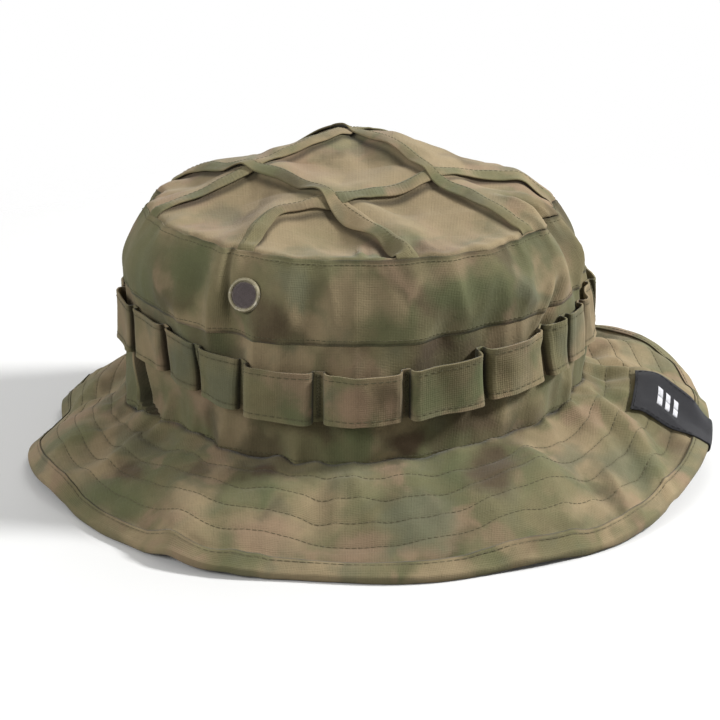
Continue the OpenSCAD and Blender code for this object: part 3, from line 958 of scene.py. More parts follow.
def camouflage(name, offset, stretch=(1, 1, 1), pitch=0.62 * MM, brown=0.0, pale=0.0, green=0.0, spots=()):
    """Printed ripstop cloth. Each piece is cut from another place of the print, so it breaks at seams."""
    paint, c = Paint(name), colours()
    here = paint.place(offset, stretch)
    broad, fine = 0.03, 0.006
    warp = paint.noise(here, 26 * MM, 2.0, 0.6, "Color")
    push = paint.vector("MULTIPLY_ADD", warp, (broad,) * 3, here)
    rough = paint.noise(here, 4.5 * MM, 4.0, 0.7, "Color")
    bent = paint.vector("MULTIPLY_ADD", rough, (fine,) * 3, push)

    def patch(shift, size, low, high, detail=1.6):
        """Where one colour of the print shows."""
        return paint.noise(paint.vector("ADD", bent, shift), size, detail, 0.5).step(low, high)

    look = paint.mix(patch((0.31, 0.7, 0.2), 40 * MM, 0.40 - pale, 0.60 - pale), c.khaki, c.tan)
    look = paint.mix(patch((0.9, 0.1, 0.5), 33 * MM, 0.44 - green, 0.62 - green) * 0.65, look, c.green)
    look = paint.mix(patch((0.5, 0.4, 0.8), 24 * MM, 0.50, 0.70) * 0.6, look, c.grey_green)
    look = paint.mix(patch((0.2, 0.9, 0.1), 31 * MM, 0.53 - brown, 0.72 - brown) * 0.6, look, c.brown)
    look = paint.mix(patch((0.7, 0.6, 0.3), 22 * MM, 0.56 - pale, 0.74 - pale) * 0.75, look, c.rose)
    # the noise that bends the print also moves it on by half of its strength
    drift = (broad + fine) / 2
    for spot, tint, radius, strength in spots:
        centre = [(float(spot[k]) + offset[k]) * stretch[k] + drift for k in range(3)]
        far = paint.vector("DISTANCE", bent, centre, out="Value")
        look = paint.mix(far.step(radius * 1.45, radius * 0.4) * strength, look, tint)
    speckle = paint.noise(here, 2.6 * MM, 4.0, 0.7)
    cloud = paint.noise(here, 12 * MM, 3.0, 0.6)
    painted_light_and_wear = paint.painted_light_and_wear()
    height, grid = weave(paint, pitch)
    light = 0.74 + speckle * 0.22 + cloud * 0.3 + grid * 0.05 + height * 0.03
    # painted shade darkens the print where the attribute is below 0; above 0 the print turns paler towards
    # tan, partly worn and partly painted highlight
    shadow = (painted_light_and_wear * -1.0).step(0.0, 1.0)
    ridge_light_and_wear = painted_light_and_wear.step(0.0, 1.2)
    look = paint.mix(1.0, look, paint.grey(light * (1 - shadow * 0.72)), "MULTIPLY")
    look = paint.mix(ridge_light_and_wear * 0.3, look, c.tan)
    fuzz = paint.noise(here, 1.1 * MM, 2.0)
    normal = paint.bump(height, 0.16 * MM, 0.55)
    normal = paint.bump(fuzz, 0.5 * MM, 0.22, normal)
    paint.set(Base_Color=look, Roughness=0.93 - grid * 0.05, Normal=normal)
    paint.set(Sheen_Weight=0.12, Sheen_Roughness=0.5, Specular_IOR_Level=0.22)
    return paint.material


def plain_cloth(name, tint, pitch=0.8 * MM, slope=1.0, ribs=None, rough=0.92, contrast=0.3):
    """One-colour cloth with a twill, or ribs, in its weave."""
    paint = Paint(name)
    here = paint.place()
    across, along = paint.cloth()
    turn_by = 2 * math.pi / pitch
    twill = ((across + along * slope) * turn_by).sine() * 0.5 + 0.5
    if ribs:
        twill = twill * 0.5 + ((along * (2 * math.pi / ribs)).sine() * 0.5 + 0.5)
    cloud = paint.noise(here, 9 * MM, 3.0, 0.6)
    speckle = paint.noise(here, 1.2 * MM, 3.0, 0.6)
    painted_light_and_wear = paint.painted_light_and_wear()
    light = 1 - contrast * 0.75 + cloud * contrast + speckle * contrast * 0.4 + twill * 0.1
    # painted shade darkens the cloth where the attribute is below 0
    look = paint.mix(1.0, tint, paint.grey(light * (1 - (painted_light_and_wear * -1.0).step(0, 1) * 0.6)), "MULTIPLY")
    normal = paint.bump(twill, 0.14 * MM, 0.7)
    normal = paint.bump(speckle, 0.3 * MM, 0.25, normal)
    paint.set(Base_Color=look, Roughness=rough - cloud * 0.08, Normal=normal, Sheen_Weight=0.1)
    paint.set(Specular_IOR_Level=0.25)
    return paint.material


def twisted_thread(name, tint):
    paint = Paint(name)
    here = paint.place()
    fine = paint.noise(here, 0.35 * MM, 2.0)
    broad = paint.noise(here, 14 * MM, 2.0)
    look = paint.mix(1.0, tint, paint.grey(0.7 + fine * 0.35 + broad * 0.3), "MULTIPLY")
    paint.set(Base_Color=look, Roughness=0.75 + fine * 0.1, Normal=paint.bump(fine, 0.1 * MM, 0.5))
    return paint.material


def lacquered(name, tint, metal=0.35, rub=0.5):
    """Lacquered metal with faint scratches, rubbed bright here and there."""
    paint = Paint(name)
    here = paint.place()
    cloud = paint.noise(here, 3 * MM, 4.0, 0.6)
    scratch = paint.noise(paint.place((0, 0, 0), (1, 0.15, 1)), 0.5 * MM, 2.0)
    rubbed = (cloud + scratch * 0.3).step(0.62, 0.8)
    look = paint.mix(rubbed * rub, tint, (0.62, 0.58, 0.5))
    look = paint.mix(1.0, look, paint.grey(0.82 + cloud * 0.3), "MULTIPLY")
    normal = paint.bump(scratch, 0.05 * MM, 0.4)
    paint.set(Base_Color=look, Roughness=0.44 + scratch * 0.15, Metallic=metal, Normal=normal)
    return paint.material


# ---------------------------------------------------------------- the pieces


def fine_columns():
    return columns(0.8, (-74, -54, 0.25), (-40, -22, 0.4), (40, 100, 0.5))


def hole_mask(points, rows, cols):
    """Faces of the wall that aren't in a vent's hole; the corners round a hole move onto its circle."""
    keep = np.ones((rows - 1, cols), bool)
    for side in (1, -1):
        t = -VENT_TURN if side > 0 else VENT_TURN - 180
        low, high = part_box("vent_eyelet_left" if side > 0 else "vent_eyelet_right")
        spot = np.array((low + high) / 2)
        up = wall(t, VENT_UP + 0.02) - wall(t, VENT_UP - 0.02)
        axis = np.cross(wall(t + 1.0, VENT_UP) - wall(t - 1.0, VENT_UP), up)
        axis = unit(axis)
        gap = points - spot
        gap = gap - (gap @ axis)[..., None] * axis
        far = np.linalg.norm(gap, axis=-1)
        inside = (far < VENT_HOLE) & (np.linalg.norm(points - spot, axis=-1) < 0.02)
        rolled = np.roll(inside, -1, 1)
        gone = inside[:-1] | inside[1:] | rolled[:-1] | rolled[1:]
        keep &= ~gone
        used = np.zeros_like(inside)
        for a in (0, 1):
            for b in (0, 1):
                used[a : rows - 1 + a] |= np.roll(gone, b, 1)
        edge = used & ~inside
        points[edge] -= gap[edge] * (1 - VENT_HOLE / far[edge])[:, None]
    return keep


class HAT_OT_crown_bands(Operator):
    """Sew the two bands of the crown's wall"""

    bl_idname = "hat.crown_bands"
    bl_label = "Crown wall"

    def execute(self, context):
        s = sizes()
        t = fine_columns()
        bands = (
            ("lower", -0.015, BAND_SPLIT + 0.004, -0.35 * MM, 42, (0.13, 0.42, 0.31), (0.035, 0.0, 0.02)),
            ("upper", BAND_SPLIT - 0.012, 1.004, 0.1 * MM, 40, (0.61, 0.17, 0.05), (0.02, 0.0, 0.035)),
        )
        for name, low, high, off, count, offset, (brown, pale, green) in bands:
            u = np.linspace(low, high, count)
            grid_t, grid_u = np.meshgrid(t, u)
            on_wall = np.clip(grid_u, 0, 1)
            points = wall(grid_t, on_wall, off)
            points[..., 2] += (grid_u - on_wall) * WALL_TALL
            _, shade = wall_folds(grid_t, on_wall)
            keep = None
            if name == "upper":
                # its folded edge stands out over the lower band
                lap = hump((grid_u - low) * WALL_TALL / MM, 0.9)
                points[..., :2] -= (points[..., :2] - np.array(MIDDLE)[:2]) * (lap * 0.004)[..., None]
                keep = hole_mask(points, len(u), len(t))
            print_of = {"brown": brown, "pale": pale, "green": green, "spots": patches(name + " band")}
            material = camouflage(f"Print, crown band {name} cloth", offset, (1, 1, 0.85), **print_of)
            cloth = ring_cloth(t, u * WALL_TALL)
            piece = sheet(f"crown_band_{name}_cloth", points, cloth, shade, material, s.cloth, keep=keep)
            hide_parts("crown_band_" + name)
        return {"FINISHED"}


class HAT_OT_crown_top(Operator):
    """Sew the crown's top and its four folded tucks"""

    bl_idname = "hat.crown_top"
    bl_label = "Crown top"

    def execute(self, context):
        s = sizes()
        t = columns(0.8, (-4, 16, 0.4), (55, 80, 0.4))
        q = np.concatenate([np.linspace(0.015, 0.9, 62), np.linspace(0.912, 1.004, 12)])
        _, grid_q = np.meshgrid(t, q)
        rim_x, rim_y = plan(t, -turned_in(1.0))
        x, y = (rim_x - MIDDLE.x) * grid_q, (rim_y - MIDDLE.y) * grid_q
        points, shade = top_cloth(x, y)
        points[..., 2] -= smooth(grid_q, 0.985, 1.004) * 0.9 * MM
        middle = top_cloth(np.zeros(1), np.zeros(1))[0][0]
        print_of = {"brown": -0.05, "pale": 0.08, "green": -0.05, "spots": patches("top")}
        material = camouflage("Print, crown top", (0.77, 0.58, 0.93), **print_of)
        end = np.append(np.arange(len(t)), 0)
        cloth = np.stack([x[:, end], y[:, end]], -1)
        piece = sheet("crown_top_cloth", points, cloth, shade, material, s.cloth, flip=True, cap=middle)
        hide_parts("crown_top")
        tucks = [self.tuck(name) for name in TUCKS]
        return {"FINISHED"}

    def tuck(self, name):
        """A fold of the cloth that lies over to one side, with its free edge standing off a little."""
        s = sizes()
        line, side = along_tuck(name, TUCK_COLUMNS)
        run = lengths(line)
        share = run / run[-1]
        seed = ord(name)
        spots = np.stack([run, run * 0, run * 0], -1)
        held = smooth(share, 0.0, 0.1) * (1 - smooth(share, 0.9, 1))
        flat = 0.15 + 0.85 * smooth(share, 0.0, 0.05) * (1 - smooth(share, 0.95, 1))
        wide = s.tuck_width * (1 + 0.16 * waves(spots, 0.018, seed)) * (1.15 - 0.15 * held)
        wide = wide + 2.5 * MM * smooth(share, 0.8, 1) * (name in "cd")
        stand = (s.tuck_lift * (1 + 0.7 * waves(spots, 0.014, seed + 40)) * held + 0.3 * MM) * flat
        for other in OVER.get(name, ()):
            cross, _ = nearest(*along_tuck(other), line[:, 0], line[:, 1])
            stand = stand + 1.3 * MM * hump(cross, 6 * MM)
        under = [o for o, below in OVER.items() if name in below]
        for other in under:
            cross, _ = nearest(*along_tuck(other), line[:, 0], line[:, 1])
            stand = stand * (1 - 0.75 * hump(cross, 7 * MM))
        # across the fold: along its upper face to the free edge, and back along its lower face
        thick = 0.75 * MM * flat
        root, upper, lower = -0.4, 13, 8
        nose = [0.975, 1.0, 0.975]
        across = np.concatenate([np.linspace(root, 0.93, upper), nose, np.linspace(0.93, 0.06, lower)])
        above = np.concatenate([np.ones(upper), [0.86, 0.5, 0.14], np.zeros(lower)])
        rows = []
        for a, b in zip(across, above):
            x, y = (line + side * (wide * a)[:, None]).T
            _, beyond = dome_place(x, y)
            inside = np.minimum(1, 1.0 / beyond)
            x, y = x * inside, y * inside
            spots_here, _ = top_cloth(x, y)
            bow = 0.3 * MM * math.sin(math.pi * min(max(a, 0), 1)) * flat
            rise = stand * max(a, 0) ** 1.4 + b * thick * smooth(a, -0.35, 0.3) + bow * b
            rise = rise - (1 - b) * 0.15 * MM * (1 - a) - 0.7 * MM * smooth(beyond, 0.985, 1.0)
            if a < 0:
                rise = rise - 1.1 * MM * a / root
            spots_here[:, 2] += rise
            rows.append(spots_here)
        points = np.array(rows)
        flat_across = (across * s.tuck_width)[:, None]
        cloth = np.stack(np.broadcast_arrays(line[:, 0][None], line[:, 1][None] + flat_across), -1)
        # painted light and shade across the fold: its free edge paler, partly worn and partly painted
        # highlight, a faint painted shade by its root, and its lower face in painted shade
        ridge = 0.5 * hump(across - 0.97, 0.15) * (above > 0.1)
        ridge -= 0.2 * hump(across - 0.1, 0.12) * (above > 0.9)
        dark = np.where(above < 0.1, -0.9, ridge)
        shade = np.broadcast_to(dark[:, None], points.shape[:2]).copy()
        offsets = {
            "a": (0.31, 0.22, 0.4),
            "b": (0.05, 0.91, 0.2),
            "c": (0.44, 0.63, 0.7),
            "d": (0.87, 0.35, 0.15),
        }
        material = camouflage("Print, tuck " + name, offsets[name], brown=-0.01, green=0.02)
        piece = sheet("crown_tuck_" + name, points, cloth, shade, material, 0.0, closed=False, flip=True)
        return piece


class HAT_OT_foliage_loops(Operator):
    """Tack the strip of foliage loops round the crown"""

    bl_idname = "hat.foliage_loops"
    bl_label = "Foliage loops"

    def execute(self, context):
        s = sizes()
        t, stand, shift = self.profile()
        hem = np.array([0, 0.25, 0.6, 1.2, 1.8, 2.2, 2.6, 3.4]) * MM
        rows = np.concatenate([hem, np.linspace(5, 16, 8) * MM, s.loop_height - hem[::-1]])
        grid_t, grid_r = np.meshgrid(t, rows)
        z = loops_z(grid_t) - s.loop_height + grid_r
        u = wall_share(grid_t, z)
        folds, _ = wall_folds(grid_t, u)
        free = np.clip(stand / s.loop_stand, 0, 1)[None]
        base = folds * (1 - 0.45 * free)
        level = grid_r / s.loop_height
        ring = ring_points(grid_t, level * 0.02, 0.5)
        sway = waves(ring_points(grid_t, level * 0.02, 0.2), 0.013, 61) * 0.55 * MM * free
        crumple = (waves(ring, 0.006, 63) * 0.25 + creases(ring, 0.012, 64) * 0.55) * MM * (0.3 + 0.7 * free)
        top_out = (level - 0.5) * waves(ring_points(grid_t, level * 0, 1), 0.03, 67) * 1.3 * MM * free
        top_out -= smooth(level, 0.45, 1) * 1.3 * MM * smooth(-grid_t, 5, 30) * free
        thick = 0.22 * MM * (hump(grid_r, 1.3 * MM, 4) + hump(s.loop_height - grid_r, 1.3 * MM, 4))
        off = 1.0 * MM + stand[None] + base + sway + crumple + top_out + thick
        gather = smooth(np.abs(turn(grid_t, 88)), 45, 20)
        off += waves(ring_points(grid_t, level * 0.02, 0.1), 0.0052, 69) * 0.7 * MM * gather * free
        x, y = plan(grid_t, off - turned_in(u))
        across, along = outward(grid_t)
        x, y = x - shift[None] * along, y + shift[None] * across
        drift = waves(ring_points(grid_t, level * 0, 1), 0.03, 71) * 0.5 * MM
        points = point(x, y, z + drift)
        # painted shade along the stitched rows and deep in the slits at the tacks; the strip's edges are
        # painted paler, partly worn and partly painted highlight
        stitch = hump(grid_r - 2.2 * MM, 0.4 * MM) + hump(s.loop_height - 2.2 * MM - grid_r, 0.4 * MM)
        inner = hump(stand[None], 2.2 * MM)
        edge = hump(grid_r, 0.5 * MM) + hump(s.loop_height - grid_r, 0.5 * MM)
        shade = -0.28 * stitch - 1.2 * inner * (stand[None] > 0) - 0.2 * inner + 0.5 * edge * (1 - inner)
        print_of = {"pale": 0.02, "spots": patches("loops")}
        material = camouflage("Print, foliage loops", (0.27, 0.83, 0.55), (1, 1, 0.8), 0.9 * MM, **print_of)
        cloth = ring_cloth(t, rows, 0.101)
        piece = sheet("foliage_loops_cloth", points, cloth, shade, material, 0.9 * MM)
        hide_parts("branch_loops")
        self.bartacks()
        self.hem_stitches(t, stand, points)
        return {"FINISHED"}

    def profile(self):
        """Angle, stand and sideways shift of each column of the strip. Loops bulge over their tacks."""
        s = sizes()
        draw = np.random.RandomState(8)
        angles, stand, shift = [], [], []
        rise, face = np.linspace(0.06, 1, 11), np.linspace(0.12, 0.88, 8)
        for low, high in zip(TACKS, TACKS[1:]):
            left = 1.3 if low == WIDE_TACK else draw.uniform(0.65, 0.95)
            right = draw.uniform(0.65, 0.95)
            at_sides = float(smooth(abs(turn((low + high) / 2, 10)), 22, 50))
            tall = s.loop_stand * draw.uniform(0.82, 1.12) * (1.1 - 0.42 * at_sides)
            bulge = 1.5 * MM * draw.uniform(0.5, 1.0)
            start, stop = low + left, high - right
            side = min(2.6, (stop - start) * 0.3)
            span = stop - start - 2 * side
            up = tall * np.sin(math.pi / 2 * np.minimum(1, rise * 1.15)) ** 0.8
            top = tall * (1 + 0.05 * np.sin(math.pi * face))
            out = bulge * np.sin(math.pi * np.minimum(1, rise * 1.1)) ** 1.2
            for t, high_by, aside in (
                (low + left * np.linspace(0, 1, 5), np.zeros(5), np.zeros(5)),
                (start + side * rise, up, -out),
                (start + side + span * face, top, 0 * face),
                (stop - side * rise[::-1], up[::-1], out[::-1]),
                (stop + right * np.linspace(0, 0.75, 4), np.zeros(4), np.zeros(4)),
            ):
                angles.append(t)
                stand.append(high_by)
                shift.append(aside)
        return np.concatenate(angles), np.concatenate(stand), np.concatenate(shift)

    def bartacks(self):
        """A zigzag of thread down each tack."""
        s = sizes()
        starts, ends, normals = [], [], []
        for tack in TACKS[:-1]:
            level = np.arange(0.04, 0.965, 0.032)
            half = 1.35 if tack == WIDE_TACK else 1.0
            lean = np.where(np.arange(len(level)) % 2 == 0, -1, 1) * 0.42 * half
            spot_t = tack + 0.25 + lean * 0.8
            z = loops_z(spot_t) - s.loop_height + level * s.loop_height
            u = wall_share(spot_t, z)
            folds, _ = wall_folds(spot_t, u)
            x, y = plan(spot_t, 1.28 * MM + folds - turned_in(u))
            spots = point(x, y, z)
            starts.append(spots[:-1])
            ends.append(spots[1:])
            out = np.array([math.cos(math.radians(tack)), math.sin(math.radians(tack)), 0.0])
            normals.append(np.broadcast_to(out, spots[1:].shape))
        rows = [(np.vstack(starts), np.vstack(ends), np.vstack(normals))]
        sew("stitches_tacks", rows, twisted_thread("Thread, tacks", colours().thread), 0.2 * MM)

    def hem_stitches(self, t, stand, points):
        """Rows of stitches along both edges of the strip, where it stands clear of the crown."""
        rows = []
        free = stand > 0.7 * sizes().loop_stand * 0.8
        runs = np.split(np.arange(len(t)), np.flatnonzero(np.diff(free.astype(int))) + 1)
        for level in (5, len(points) - 6):
            for run in runs:
                if not free[run[0]] or len(run) < 6:
                    continue
                path = points[level, run]
                out = point(*outward(t[run]), 0.0)
                rows.append(stitch_row(path + out * 0.08 * MM, out, 2.0 * MM, 0.8 * MM, closed=False))
        sew("stitches_loop_hems", rows, twisted_thread("Thread, loop hems", colours().thread), 0.15 * MM)


class HAT_OT_brim(Operator):
    """Sew the brim's cloth, interlining and hem"""

    bl_idname = "hat.brim"
    bl_label = "Brim"

    def execute(self, context):
        s = sizes()
        t = columns(0.85, (-75, -48, 0.5), (45, 100, 0.5))
        spread = np.array([-2.0, -1.3, -0.8, -0.4, 0, 0.4, 0.8, 1.3, 2.0]) * MM / BRIM_WIDE
        lines = [at + spread for at in [*QUILTING, hem_row(1.6 * MM)]]
        v = np.unique(np.round(np.clip(np.concatenate([np.linspace(0, 1, 26), *lines]), 0, 1), 4))
        v = v[np.concatenate([[True], np.diff(v) > 0.004])]
        grid_t, grid_v = np.meshgrid(t, v)
        _, _, shade = brim_folds(grid_t, grid_v)
        material = camouflage("Print, brim upper", (0.38, 0.71, 0.27), pale=0.02, spots=patches("brim"))
        cloth = self.flat_cloth(t, v)
        points = brim(grid_t, grid_v, HALF_STACK)
        upper = sheet("brim_upper_cloth", points, cloth, shade, material, s.cloth, flip=True)
        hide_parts("brim_upper")
        near_rows = [at + spread[[1, 3, 4, 5, 7]] for at in QUILTING]
        v_low = np.unique(np.round(np.concatenate([np.linspace(0, 1, 30), *near_rows]), 4))
        t_low = columns(1.1)
        low_t, low_v = np.meshgrid(t_low, v_low)
        _, _, low_shade = brim_folds(low_t, low_v)
        material = camouflage("Print, brim lining", (0.92, 0.18, 0.66), pale=0.02)
        cloth = self.flat_cloth(t_low, v_low)
        points = brim(low_t, low_v, -HALF_STACK, -0.6)
        lower = sheet("brim_lower_cloth", points, cloth, low_shade, material, s.cloth)
        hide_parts("brim_lower")
        v_mid = np.unique(np.clip(v_low, 0.01, 0.985))
        mid_t, mid_v = np.meshgrid(t_low, v_mid)
        felt = plain_cloth("Interlining felt", colours().interlining, 1.4 * MM, 0.3, contrast=0.15)
        cloth = self.flat_cloth(t_low, v_mid)
        points = brim(mid_t, mid_v, 0.15 * MM, 0)
        between = sheet("brim_interlining_sheet", points, cloth, 0.0, felt, 0.3 * MM, flip=True)
        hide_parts("brim_interlining")
        # the cut is an oval ring, which is less than half of its rectangle
        self.hem(t)
        return {"FINISHED"}

    def flat_cloth(self, t, v):
        """UV places of the brim as it is cut, flat, in plan."""
        angles = np.append(t, t[0])
        far_t, far_v = np.meshgrid(angles, v)
        x, y = plan(far_t, reach(far_t) * far_v)
        return np.stack([x, y], -1)

    def hem(self, t):
        """The hem: a strip of the same cloth that is folded over the brim's edge."""
        s = sizes()
        far = BRIM_WIDE
        nose = 0.8 * MM / far
        inner, outer = 1 - s.hem_width / far, 1 - 0.4 * MM / far
        bend = np.radians(np.arange(15, 166, 25))
        upper, lower = np.linspace(inner, outer, 9), np.linspace(outer, inner, 6)
        v = np.concatenate([[inner - 0.05 * MM / far], upper, 1 + nose * np.sin(bend), lower])
        height = np.concatenate([[0.72], np.ones(9), np.cos(bend), -np.ones(6)]) * (HEM_OUT - 0.25 * MM)
        grid_t, grid_v = np.meshgrid(t, v)
        spots = ring_points(grid_t, grid_v * 0, 1)
        ripple = 0.22 * MM * waves(spots, 0.005, 81) * (1 - hump(grid_v - v[0], 0.04))
        x, y = plan(grid_t, reach(grid_t) * grid_v + 0.25 * MM * waves(spots, 0.011, 83))
        lift, _, _ = brim_folds(grid_t, np.minimum(grid_v, 1))
        w = np.minimum(grid_v, 1)
        z = brim_z(grid_t, w) + lift + height[:, None] + ripple * np.sign(height)[:, None]
        points = point(x, y, np.maximum(z, 0.05 * MM))
        run = np.concatenate([[0], np.cumsum(np.hypot(np.diff(v) * far, np.diff(height)))])
        across = (v - v[0]) * far / MM
        on_top = height > 0
        # a painted shadow line along the hem's inner edge on top; the folded edge is painted paler, partly
        # worn and partly painted highlight
        line = (-0.7 * hump(across, 0.35) - 0.35 * hump(across - 1.4, 0.4)) * on_top
        edge = 0.5 * hump(v - 1 - nose * 0.6, 0.9 * MM / far)
        shade = np.broadcast_to((line + edge)[:, None], points.shape[:2]) + 0.12 * waves(spots, 0.006, 85)
        material = camouflage("Print, hem", (0.55, 0.29, 0.84), brown=-0.01, pale=0.03, green=0.02)
        cloth = ring_cloth(t, run, 0.14)
        piece = sheet("brim_hem_cloth", points, cloth, shade, material, 0.4 * MM, flip=True)
        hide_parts("brim_edge_binding")


class HAT_OT_inside(Operator):
    """Sew the sweatband, its elastic and the tape over the top seam"""

    bl_idname = "hat.inside"
    bl_label = "Inside"

    def execute(self, context):
        t = columns(1.0, (50, 130, 0.6))
        u = np.linspace(0, SWEATBAND_TOP, 26)
        grid_t, grid_u = np.meshgrid(t, u)
        gather = smooth(np.abs(turn(grid_t, 90)), 45, 25)
        ripple = waves(ring_points(grid_t, grid_u * 0.08, 0.1), 0.004, 91) * 0.35 * MM * gather
        points = sweatband(grid_t, grid_u, 1.75 * MM - ripple)
        # painted shade along the sweatband's two stitched rows
        stitch_row_shade = sum(hump(grid_u / SWEATBAND_TOP - level, 0.02) for level in SWEATBAND_ROWS)
        twill = plain_cloth("Sweatband twill", colours().sweatband, 1.1 * MM, 1.0)
        cloth = ring_cloth(t, u * WALL_TALL, 0.09)
        band = sheet("sweatband_cloth", points, cloth, -0.5 * stitch_row_shade, twill, 0.9 * MM)
        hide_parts("sweatband")
        self.elastic()
        self.tape()
        return {"FINISHED"}

    def elastic(self):
        """The strap between the sweatband and the wall, at the back."""
        t = np.arange(60, 120.1, 0.75)
        u = np.linspace(0.085, 0.295, 16)
        grid_t, grid_u = np.meshgrid(t, u)
        pushed = np.minimum(wall_folds(grid_t, grid_u)[0], 0)
        x, y = plan(grid_t, -1.3 * MM - turned_in(grid_u) + pushed)
        points = point(x, y, wall_z(grid_t, grid_u))
        knit = plain_cloth("Knitted elastic", colours().elastic, 0.9 * MM, 0.0, 1.3 * MM, contrast=0.12)
        cloth = np.stack(np.meshgrid(np.radians(t) * 0.09, u * WALL_TALL), -1)
        strap = sheet("back_elastic_band", points, cloth, 0.0, knit, 0.65 * MM, closed=False)
        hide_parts("back_elastic")

    def tape(self):
        """The tape over the top seam's raw edges."""
        t = columns(1.2)
        # across the tape: its outer face, with both edges turned under
        lower = [(0.948, 0.5), (0.94, 0.45), (0.932, 0.45), (0.9305, 0.7)]
        face = [(0.933, 0.95), (0.941, 1.2), (0.949, 1.3), (0.957, 1.35)]
        face += [(0.966, 1.3), (0.974, 1.2), (0.982, 0.95)]
        upper = [(0.9845, 0.7), (0.983, 0.45), (0.975, 0.45), (0.967, 0.5)]
        u, out = np.array(lower + face + upper).T
        grid_t, grid_u = np.meshgrid(t, u)
        lift, _ = wall_folds(grid_t, grid_u)
        x, y = plan(grid_t, -0.9 * MM - turned_in(grid_u) - out[:, None] * MM + lift)
        points = point(x, y, wall_z(grid_t, grid_u))
        tape = plain_cloth("Seam tape", colours().sweatband, 0.7 * MM, 0.0, 1.0 * MM)
        run = np.linspace(0, 0.0095, len(u))
        bound = sheet("seam_tape", points, ring_cloth(t, run, 0.08), 0.0, tape, 0.25 * MM, flip=True)
        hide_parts("crown_seam_binding")


class HAT_OT_vents(Operator):
    """Finish the vents' metal and weave their screens"""

    bl_idname = "hat.vents"
    bl_label = "Vents"

    def execute(self, context):
        c = colours()
        metal = lacquered("Eyelet lacquer", c.metal)
        mesh = lacquered("Screen wire", c.wire, 0.0, 0.0)
        for side in ("left", "right"):
            for node in ("vent_eyelet_", "vent_washer_"):
                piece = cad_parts[node + side]
                piece.data.materials.clear()
                piece.data.materials.append(metal)
            self.screen(side, mesh)
        return {"FINISHED"}

    def screen(self, side, material):
        """A round of woven wire in the place of the plain screen."""
        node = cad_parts["vent_screen_" + side]
        corners = np.array([v.co for v in node.data.vertices])
        middle = corners.mean(0)
        axis = np.linalg.svd(corners - middle)[2][2]
        if axis[0] * (1 if side == "left" else -1) < 0:
            axis = -axis
        across = unit(np.cross([0, 0, 1], axis))
        up = np.cross(axis, across)
        pitch, radius = 0.48 * MM, 0.12 * MM
        far = np.linalg.norm(corners - middle, axis=1).max() - radius
        verts, faces = [], []
        places = np.arange(-12, 13) * pitch
        round_wire = np.radians([0, 90, 180, 270])[:, None]
        for first, second, phase in ((across, up, 0), (up, across, 1)):
            tube = (first * np.cos(round_wire) + axis * np.sin(round_wire)) * radius
            for k, at in enumerate(places):
                if abs(at) > far - 0.1 * MM:
                    continue
                half = math.sqrt(far**2 - at**2)
                along = np.linspace(-half, half, max(4, int(half / pitch * 8) + 1))
                over = 1 if (k + phase) % 2 else -1
                bend = 0.08 * MM * np.cos(along / pitch * math.pi) * over
                line = middle + first * at + along[:, None] * second + bend[:, None] * axis
                ring = np.arange(len(line) - 1)[:, None] * 4 + len(verts)
                a, b = np.arange(4), (np.arange(4) + 1) % 4
                sides = np.stack([ring + a, ring + b, ring + 4 + b, ring + 4 + a], -1)
                faces += sides.reshape(-1, 4).tolist()
                verts += (line[:, None] + tube).reshape(-1, 3).tolist()
        piece = build("vent_mesh_" + side, verts, faces, material=material)
        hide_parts("vent_screen_" + side)


